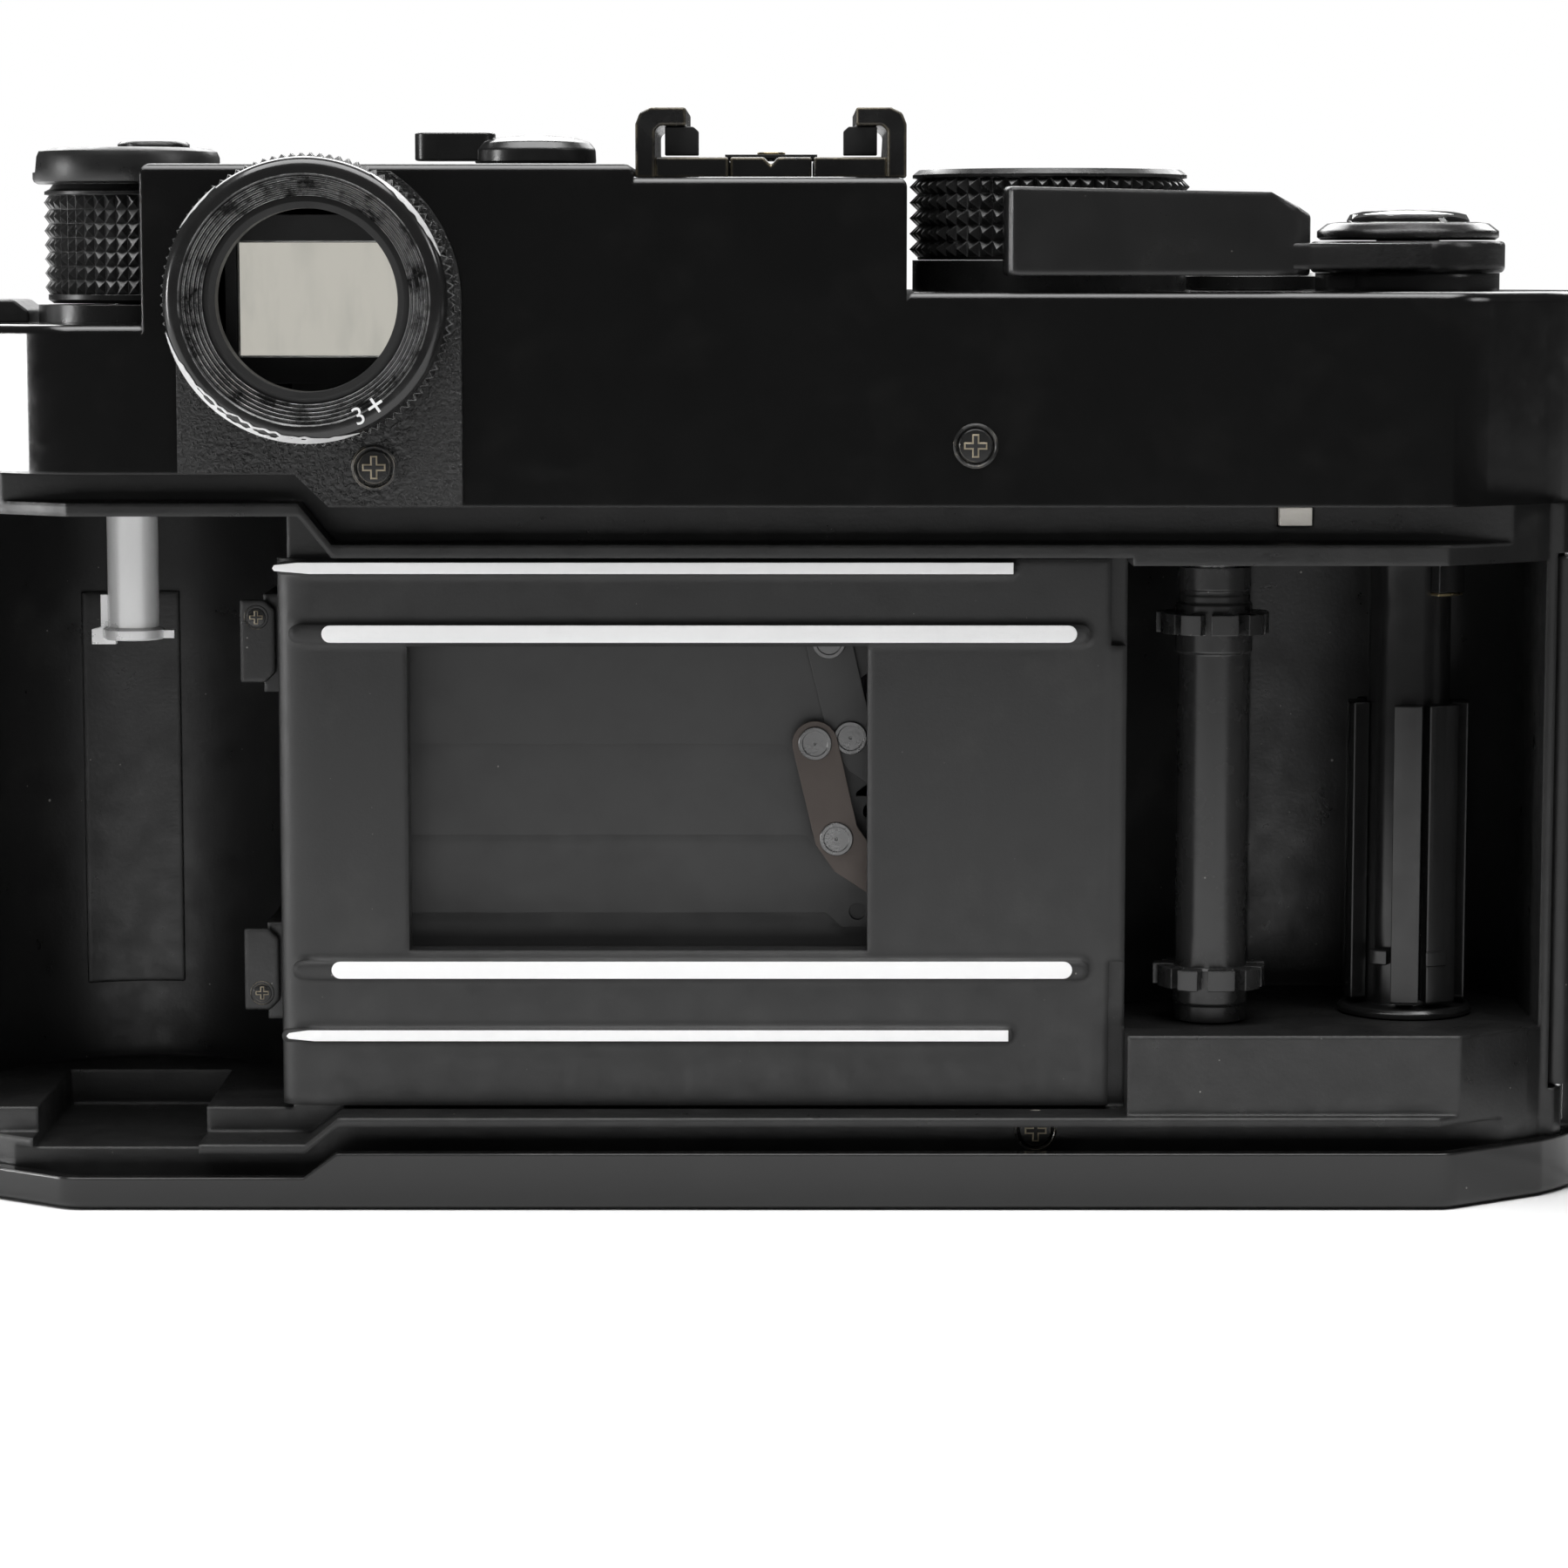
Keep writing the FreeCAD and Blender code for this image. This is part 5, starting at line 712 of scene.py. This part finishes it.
def eyepiece():
    """The knurled ring with thread steps, its dark well, the lit field and the dioptre mark."""
    x, z, rear = EYEPIECE_X, EYEPIECE_Z, EYEPIECE_SEAT
    skirt = knurl(11.1, 0.9, 3.1, 2, 96, 0.42)
    threads = []
    for k in range(5):
        outer, level = 9.3 - 0.3 * k, 4.75 - 0.28 * k
        groove = level - 0.14
        threads += [(outer, level), (outer - 0.08, groove), (outer - 0.2, groove), (outer - 0.25, level)]
    profile = [(7.75, 1.0), (10.6, 1.0), (10.6, 3.3), (10.72, 3.5), (10.74, 4.1), (10.62, 4.5), (10.4, 4.8),
               (10.1, 4.97), (9.95, 5.0), (9.45, 5.0), (9.35, 4.9)] + threads + [(7.8, 3.3), (7.75, 3.1)]
    ring = lathe(profile, 128)
    verts, faces = merge(skirt, ring)
    add("eyepiece_ring_looks", moved(verts, TO_REAR, (x, rear, z)), faces, "eye_ring", "body",
        ["eyepiece_ring"],
        smooth=25)
    well = lathe([(6.9, 1.2), (7.79, 1.2), (7.79, 3.2), (7.4, 3.28), (6.9, 3.2)], 96)
    add("eyepiece_well", moved(well[0], TO_REAR, (x, rear, z)), well[1], "finder", "body")
    rim_wear(x, z, rear)
    pane = finder_field(x, z)
    # Painted light: this pane glows as the lit view through the finder.
    add("finder_view", pane[0], pane[1], "painted_finder_glow", "body", bevel=0.02)
    marks_at = 9.6
    for name, text, angle, size in (("dioptre_plus", "+", 304, 2.6), ("dioptre_figure", "3", 295, 1.9)):
        a = math.radians(angle)
        at = (x - marks_at * math.cos(a), rear + 5.02, z + marks_at * math.sin(a))
        turn = Matrix.Rotation(math.pi, 4, "Z") @ Matrix.Rotation(math.pi / 2, 4, "X")
        turn = turn @ Matrix.Rotation(a + math.pi / 2, 4, "Z")
        figure(name, text, size, turn, at, "paint_white", "body")


# ---------------------------------------------------------------- top controls


def shoe():
    """The bent shoe: two folded rails with round outer corners, and a three-piece floor."""
    middle, front, rear = -10.45, -6.65, 11.85
    low, top, out = SHOE_SEAT, 85.3, 10.45
    parts = []
    for side in (1, -1):
        profile = [(out, low), (out, top - 1.3), (out - 0.35, top - 0.4), (out - 1.2, top), (out - 3.9, top),
                   (out - 3.9, top - 1.4), (out - 1.9, top - 1.4), (out - 1.5, top - 1.8), (out - 1.5, low)]
        outline = [(middle + side * a, z) for a, z in profile]
        parts.append(wall_plate(outline, front, rear))
    verts, faces = merge(*parts)
    floor = []
    for left, right in ((-8.95, -3.3), (3.3, 8.95)):
        floor.append(wall_plate([(middle + left, low), (middle + right, low), (middle + right, low + 1.6),
                                 (middle + left, low + 1.6)], front, rear - 0.2))
    notch = [(-3.15, low), (3.15, low), (3.15, low + 1.6), (0.55, low + 1.6), (0.0, low + 1.0),
             (-0.55, low + 1.6),
             (-3.15, low + 1.6)]
    floor.append(wall_plate([(middle + a, b) for a, b in notch], front, rear - 0.5))
    verts, faces = merge((verts, faces), *floor)
    add("hot_shoe_looks", verts, faces, "shoe", "body", ["hot_shoe"], bevel=0.18)
    ends = []
    for side in (1, -1):
        ends.append(wall_plate([(middle + side * a, b) for a, b in (
            (8.2, low + 1.75), (5.6, low + 1.75), (5.6, top - 1.8), (6.0, top - 1.45), (8.2, top - 1.45))],
            rear - 3.0, rear - 1.4))
    ends.append(wall_plate([(middle - 8.2, low + 1.62), (middle + 8.2, low + 1.62), (middle + 8.2, low + 1.8),
                            (middle - 8.2, low + 1.8)], front + 1.2, front + 2.8))
    for side in (1, -1):
        ends.append(wall_plate([(middle + side * a, b) for a, b in (
            (8.2, top - 1.7), (6.5, top - 1.7), (6.5, top - 1.42), (8.2, top - 1.42))], front + 2.8,
                               rear - 2.0))
    verts, faces = merge(*ends)
    add("shoe_spring_looks", verts, faces, "finder", "body", ["shoe_spring"], bevel=0.08)


def selector():
    """The domed frame selector with its arm and white dot."""
    x, y = SELECTOR
    low = HUMP_TOP
    top = lathe([(0, 0.15), (4.6, 0.15), (4.8, 0.35), (4.75, 1.4), (4.3, 1.95), (3.2, 2.3), (1.6, 2.45),
                 (0, 2.5)], 96)
    arm = extruded(rounded_rectangle(-9.5, -3.2, -1.8, 1.8, 1.2), 0.5, 2.7)
    arm = (moved(arm[0], Matrix.Rotation(math.pi, 4, "Z")), arm[1])
    verts, faces = merge(top, arm)
    add("frame_selector_looks", moved(verts, at=(x, y, low)), faces, "dial", "frame_selector",
        ["frame_selector"],
        bevel=0.2)
    dot = lathe([(0, 0), (0.75, 0), (0.7, 0.06), (0, 0.08)], 32)
    tilt = Matrix.Rotation(math.radians(-12), 4, "X")
    add("selector_dot", moved(dot[0], tilt, (x, y + 2.6, low + 2.33)), dot[1], "paint_white",
        "frame_selector",
        smooth=40)


SPEEDS = ("B", "1", "2", "4", "8", "15", "30", "60", "125", "250", "500")


def speed_dial():
    """The knurled shutter speed dial with its figures."""
    x, y = DIAL
    low = DIAL_FOOT
    band = knurl(11.15, low + 0.15, low + 6.3, 5, 58, 0.62)
    body = lathe([(2.05, low), (2.1, low - 0.08), (10.4, low - 0.08), (10.5, low), (10.5, low + 6.3),
                  (10.9, low + 6.35), (10.9, low + 6.6), (10.4, low + 7.0), (8.9, low + 7.0),
                  (8.7, low + 6.75),
                  (0, low + 6.7), (0, low + 3.6), (2.05, low + 3.5)], 128, closed=False)
    verts, faces = merge(band, body)
    add("speed_dial_looks", moved(verts, at=(x, y, 0)), faces, "dial", "speed_dial", ["speed_dial"],
        smooth=25)
    for number, text in enumerate(SPEEDS):
        a = math.radians(90 + number * 360 / SPEED_PLACES)
        at = (x + 7.2 * math.cos(a), y + 7.2 * math.sin(a), low + 6.75)
        figure("speed_%s" % text, text, 1.9, Matrix.Rotation(a - math.pi / 2, 4, "Z"), at, "paint_white",
               "speed_dial")


def lever():
    """The advance lever with its thick tip, the stepped cap and the counter."""
    x, y = LEVER
    plate = lathe([(2.6, 72.62), (7.5, 72.62), (7.7, 72.9), (7.7, 74.9), (7.5, 75.1), (2.6, 75.1)], 96)
    arm = extruded([(4.4, 4.6), (10.0, 12.4), (12.0, 13.0), (24.0, 13.0), (24.0, 15.6), (9.6, 15.6),
                    (5.6, 13.2),
                    (-1.5, 7.3), (1.0, 4.0)], 72.9, 74.9)
    verts, faces = merge(plate, arm)
    add("advance_lever_looks", moved(verts, at=(x, y, 0)), faces, "lever", "advance_lever", ["advance_lever"],
        bevel=0.15)
    outline = [(32.9, 12.2), (32.9, 15.2), (32.6, 16.0), (31.8, 16.4), (12.6, 16.4), (10.4, 15.4),
               (9.3, 13.6),
               (9.3, 12.9), (10.0, 12.2)]
    tip = extruded(outline, 72.4, 79.2)
    # The tip's upper corner slopes down towards the pivot.
    slope_from, slope_run, slope_drop = 13.0, 3.4, 2.1
    shaped = []
    for px, py, pz in tip[0]:
        if px < slope_from and pz > 78.0:
            pz -= slope_drop * min((slope_from - px) / slope_run, 1.0)
        shaped.append((px, py, pz))
    add("lever_tip_looks", moved(shaped, at=(x, y, 0)), tip[1], "lever", "advance_lever", ["lever_tip"],
        bevel=0.7,
        segments=5)
    cap = lathe([(0, 75.2), (6.9, 75.2), (7.2, 75.4), (7.2, 75.9), (6.4, 76.5), (5.6, 76.6), (4.9, 76.6),
                 (4.9, 75.55), (0, 75.5)], 96)
    add("lever_cap_looks", moved(cap[0], at=(x, y, 0)), cap[1], "lever", "body", ["lever_cap"], smooth=28)
    dome = lathe([(0, 76.1), (4.85, 76.1), (4.85, 76.75), (4.6, 77.2), (3.6, 77.45), (2.0, 77.55),
                  (0, 77.6)], 96)
    add("counter_window_looks", moved(dome[0], at=(x, y, 0)), dome[1], "glass", "body", ["counter_window"],
        smooth=40)
    for k in range(12):
        a = TAU * k / COUNTER_MARKS + math.pi / 2
        at = (x + 3.6 * math.cos(a), y + 3.6 * math.sin(a), 75.91)
        tick = "·" if k % 3 else str(k)
        figure("count_%d" % k, tick, 1.2, Matrix.Rotation(a - math.pi / 2, 4, "Z"), at, "paint_white",
               "frame_counter", 0.01)


def release():
    """The release button, with its threaded socket."""
    x, y = RELEASE
    button = lathe([(0, 69.2), (3.3, 69.2), (3.3, 78.0), (3.0, 78.4), (2.4, 78.55), (1.5, 78.3), (1.0, 78.25),
                    (1.0, 75.0), (0, 75.0)], 64)
    add("release_button_looks", moved(button[0], at=(x, y, 0)), button[1], "steel", "release_button",
        ["release_button"], smooth=30)


# ---------------------------------------------------------------- screws, chamber and deck details


def screws():
    """Cross-head screws in their countersinks, with worn slots, and a dark cross on each head as painted
    shade in its recess.
    """
    eyepiece_plate, cover, base = (1.35, 19.8, 18.2, 57.9), (1.35, -26.1, 17.2, 59.5), (1.3, -31.3, 12.1, 5.4)
    pad_high, pad_low = (0.8, 30.5, 4.78, 45.4), (0.8, 30.4, 4.78, 15.2)
    heads, rims, slots = [], [], []
    for radius, x, rear, z in (eyepiece_plate, cover, base, pad_high, pad_low):
        ring = [(radius * 1.22, -0.6), (radius * 1.28, -0.08), (radius * 1.16, 0.02), (radius * 1.06, -0.1),
                (radius * 1.02, -0.6)]
        head = [(0, -0.6), (radius, -0.6), (radius, -0.12), (radius * 0.9, 0.0), (radius * 0.5, 0.05),
                (0, 0.06)]
        for profile in (ring, head):
            verts, faces = lathe(profile, 48)
            heads.append((moved(verts, TO_REAR, (x, rear, z)), faces))
        # The wider cross is worn brass; the narrow dark cross over it is painted shade standing for the
        # recess.
        for kind, wide, reach, depth in ((rims, 0.2, 0.66, 0.075), (slots, 0.11, 0.57, 0.09)):
            w, e = radius * wide, radius * reach
            cross = [(e, w), (w, w), (w, e), (-w, e), (-w, w), (-e, w), (-e, -w), (-w, -w), (-w, -e), (w, -e),
                     (w, -w), (e, -w)]
            kind.append(wall_plate([(x + a, z + b) for a, b in cross], rear, rear + depth))
    verts, faces = merge(*heads)
    add("screw_looks", verts, faces, "screw", "body", ["body_screws"], smooth=35)
    for name, crosses, look in (("screw_slot_rims", rims, "worn_slot"), ("screw_recess_shade", slots, "finder")):
        verts, faces = merge(*crosses)
        add(name, verts, faces, look, "body")


def chamber_details():
    """A thin panel on the curved wall of the cartridge chamber, and the faces of its two pads."""
    x, radius = CHAMBER[0], CHAMBER_RADIUS
    first, sweep, steps = -math.pi / 2 - 0.149, 0.606, 8
    verts, faces = [], []
    for k in range(steps + 1):
        a = first + (sweep * k / steps)
        for inset in (0.0, 0.3):
            for z in (13.3, 46.2):
                verts.append((x + (radius - inset) * math.cos(a), (radius - inset) * math.sin(a), z))
    for k in range(steps):
        here, there = 4 * k, 4 * k + 4
        faces += [(here + 2, there + 2, there + 3, here + 3), (here, there, there + 2, here + 2),
                  (here + 1, there + 1, there + 3, here + 3)]
    faces += [(0, 1, 3, 2), (4 * steps, 4 * steps + 1, 4 * steps + 3, 4 * steps + 2)]
    add("chamber_panel", verts, faces, "casting", "body", bevel=0.1)
    near, far, tall, corner = 29.0, 31.8, 6.6, 0.8
    pads = []
    for low in (13.8, 40.2):
        outline = [(near, low + corner), (near + corner, low), (far, low), (far, low + tall),
                   (near + corner, low + tall), (near, low + tall - corner)]
        pads.append(wall_plate(outline, 4.35, 4.75))
    verts, faces = merge(*pads)
    add("pad_faces", verts, faces, "casting", "body", bevel=0.15)


def deck_details():
    """A low plate beside the rewind knob, and an apron round the release."""
    shoulder = wall_plate([(48.4, DECK_LEFT), (56.2, DECK_LEFT), (56.2, 70.5), (49.6, 70.5), (48.4, 69.6)],
                          -5.5, 3.0)
    add("shoulder_plate", shoulder[0], shoulder[1], "knob", "body", bevel=0.25, segments=3)
    foot = DECK_RIGHT + 0.05
    apron = lathe([(4.62, foot), (6.3, foot), (6.3, 72.3), (6.0, 72.55), (4.62, 72.6)], 72)
    add("release_apron", moved(apron[0], at=(*RELEASE, 0)), apron[1], "dial", "body", smooth=35)


# ---------------------------------------------------------------- lens


def lens():
    """The ribbed rings, nose, glass and figures of the lens, on an axis that looks along -Y."""
    mid = LENS_Z
    at = (0, FLANGE_Y, mid)
    ribs = []
    count = 72
    for k in range(count):
        ribs.append(arc_block(24.2, 25.0, 360 * k / count + 0.8, 360 * k / count + 3.4, 14.2, 21.6, 2))
    body = lathe([(19.7, 12.2), (24.2, 12.2), (24.45, 12.5), (24.45, 13.8), (24.25, 14.0), (24.25, 21.8),
                  (24.45, 22.0), (24.45, 22.5), (24.2, 22.8), (19.7, 22.8)], 144)
    verts, faces = merge(body, *ribs)
    add("focus_ring_looks", moved(verts, TO_FRONT, at), faces, "lens_black", "focus_ring", ["focus_ring"],
        bevel=0.12)
    grips = []
    for k in range(60):
        grips.append(arc_block(22.2, 22.8, 6 * k + 1.0, 6 * k + 4.6, 8.8, 11.6, 2))
    body = lathe([(19.7, 6.2), (22.1, 6.2), (22.3, 6.4), (22.3, 11.8), (22.1, 12.0), (19.7, 12.0)], 144)
    verts, faces = merge(body, *grips)
    add("aperture_ring_looks", moved(verts, TO_FRONT, at), faces, "lens_black", "aperture_ring",
        ["aperture_ring"],
        bevel=0.1)
    nose = lathe([(14.5, 23.0), (20.9, 23.0), (21.5, 23.4), (21.5, 27.6), (21.1, 28.0), (19.6, 28.0),
                  (19.0, 27.7),
                  (19.0, 25.2), (18.4, 25.0), (15.2, 25.0), (14.5, 24.6)], 144)
    add("lens_nose_looks", moved(nose[0], TO_FRONT, at), nose[1], "lens_black", "body", ["lens_nose"],
        smooth=28)
    curve = [(14.49 * k / 10, 23.9 - 2.2 * (k / 10) ** 2) for k in range(11)]
    front = lathe(curve + [(14.49, 18.0), (0, 18.0)], 96)
    back = lathe([(0, -9.0), (14.49, -8.4), (14.49, -5.0), (0, -5.0)], 96)
    verts, faces = merge(front, back)
    add("lens_glass_looks", moved(verts, TO_FRONT, at), faces, "coated", "body", ["lens_glass"], smooth=50)
    ring = 22.32
    for number, text in enumerate(("2.8", "4", "5.6", "8", "11", "16")):
        a = math.radians(90 + (number - 2.5) * 12)
        spot = (ring * math.cos(a), FLANGE_Y - 7.6, mid + ring * math.sin(a))
        turn = Matrix.Rotation(math.pi / 2 - a, 4, "Y")
        figure("stop_%d" % number, text, 1.6, turn, spot, "paint_white", "aperture_ring")


# ---------------------------------------------------------------- room, light and camera


def room():
    """A plain pale floor, soft lights and the camera."""
    floor_mesh = bpy.data.meshes.new("floor")
    floor_mesh.from_pydata([(-2, -2, 0), (2, -2, 0), (2, 0.32, 0), (-2, 0.32, 0)], [], [(0, 1, 2, 3)])
    floor = bpy.data.objects.new("floor", floor_mesh)
    bpy.context.scene.collection.objects.link(floor)
    g = Graph("floor")
    g.put(g.shader.inputs["Base Color"], g.blend(g.noise(g.place(), 0.01, 3.0), rgb(0.86), rgb(0.9)))
    g.put(g.shader.inputs["Roughness"], 0.7)
    floor_mesh.materials.append(g.material)

    lights = (
        ("top", (0.0, 0.10, 0.70), (0, 0.0, 0.03), 0.8, 0.5, 10.0),
        ("left", (0.70, 0.17, 0.06), (0.05, 0, 0.055), 0.055, 0.24, 2.1),
        ("right", (-0.70, 0.30, 0.40), (-0.03, 0, 0.05), 0.2, 0.2, 1.0),
        ("behind", (0.0, -0.9, 0.6), (0, 0, 0.04), 1.4, 0.5, 12.0),
    )
    for name, place, aim, wide, tall, power in lights:
        data = bpy.data.lights.new(name, "AREA")
        data.shape = "RECTANGLE"
        data.size, data.size_y, data.energy = wide, tall, power
        lamp = bpy.data.objects.new(name, data)
        bpy.context.scene.collection.objects.link(lamp)
        lamp.location = place
        lamp.rotation_euler = (Vector(aim) - Vector(place)).to_track_quat("-Z", "Y").to_euler()

    world = bpy.data.worlds.new("pale")
    bpy.context.scene.world = world
    world.use_nodes = True
    tree = world.node_tree
    background = tree.nodes["Background"]
    background.inputs[0].default_value = (1, 1, 1, 1)
    background.inputs[1].default_value = 0.10
    seen = tree.nodes.new("ShaderNodeBackground")
    seen.inputs[0].default_value = (1, 1, 1, 1)
    seen.inputs[1].default_value = 1.0
    path = tree.nodes.new("ShaderNodeLightPath")
    mix = tree.nodes.new("ShaderNodeMixShader")
    tree.links.new(path.outputs["Is Camera Ray"], mix.inputs[0])
    tree.links.new(background.outputs[0], mix.inputs[1])
    tree.links.new(seen.outputs[0], mix.inputs[2])
    tree.links.new(mix.outputs[0], tree.nodes["World Output"].inputs[0])

    data = bpy.data.cameras.new("camera")
    data.lens, data.sensor_width, data.clip_start = 104.0, 36.0, 0.01
    camera = bpy.data.objects.new("camera", data)
    bpy.context.scene.collection.objects.link(camera)
    camera.location = (-0.011455, 0.3639, 0.0735)
    camera.rotation_euler = (math.radians(90 - 6.58), 0, math.radians(180))
    bpy.context.scene.camera = camera
    bpy.context.scene.view_settings.view_transform = "Standard"


paint_nodes()
film_gate()
shutter()
sprocket()
spool()
rewind()
eyepiece()
shoe()
selector()
speed_dial()
lever()
release()
screws()
chamber_details()
deck_details()
lens()
room()
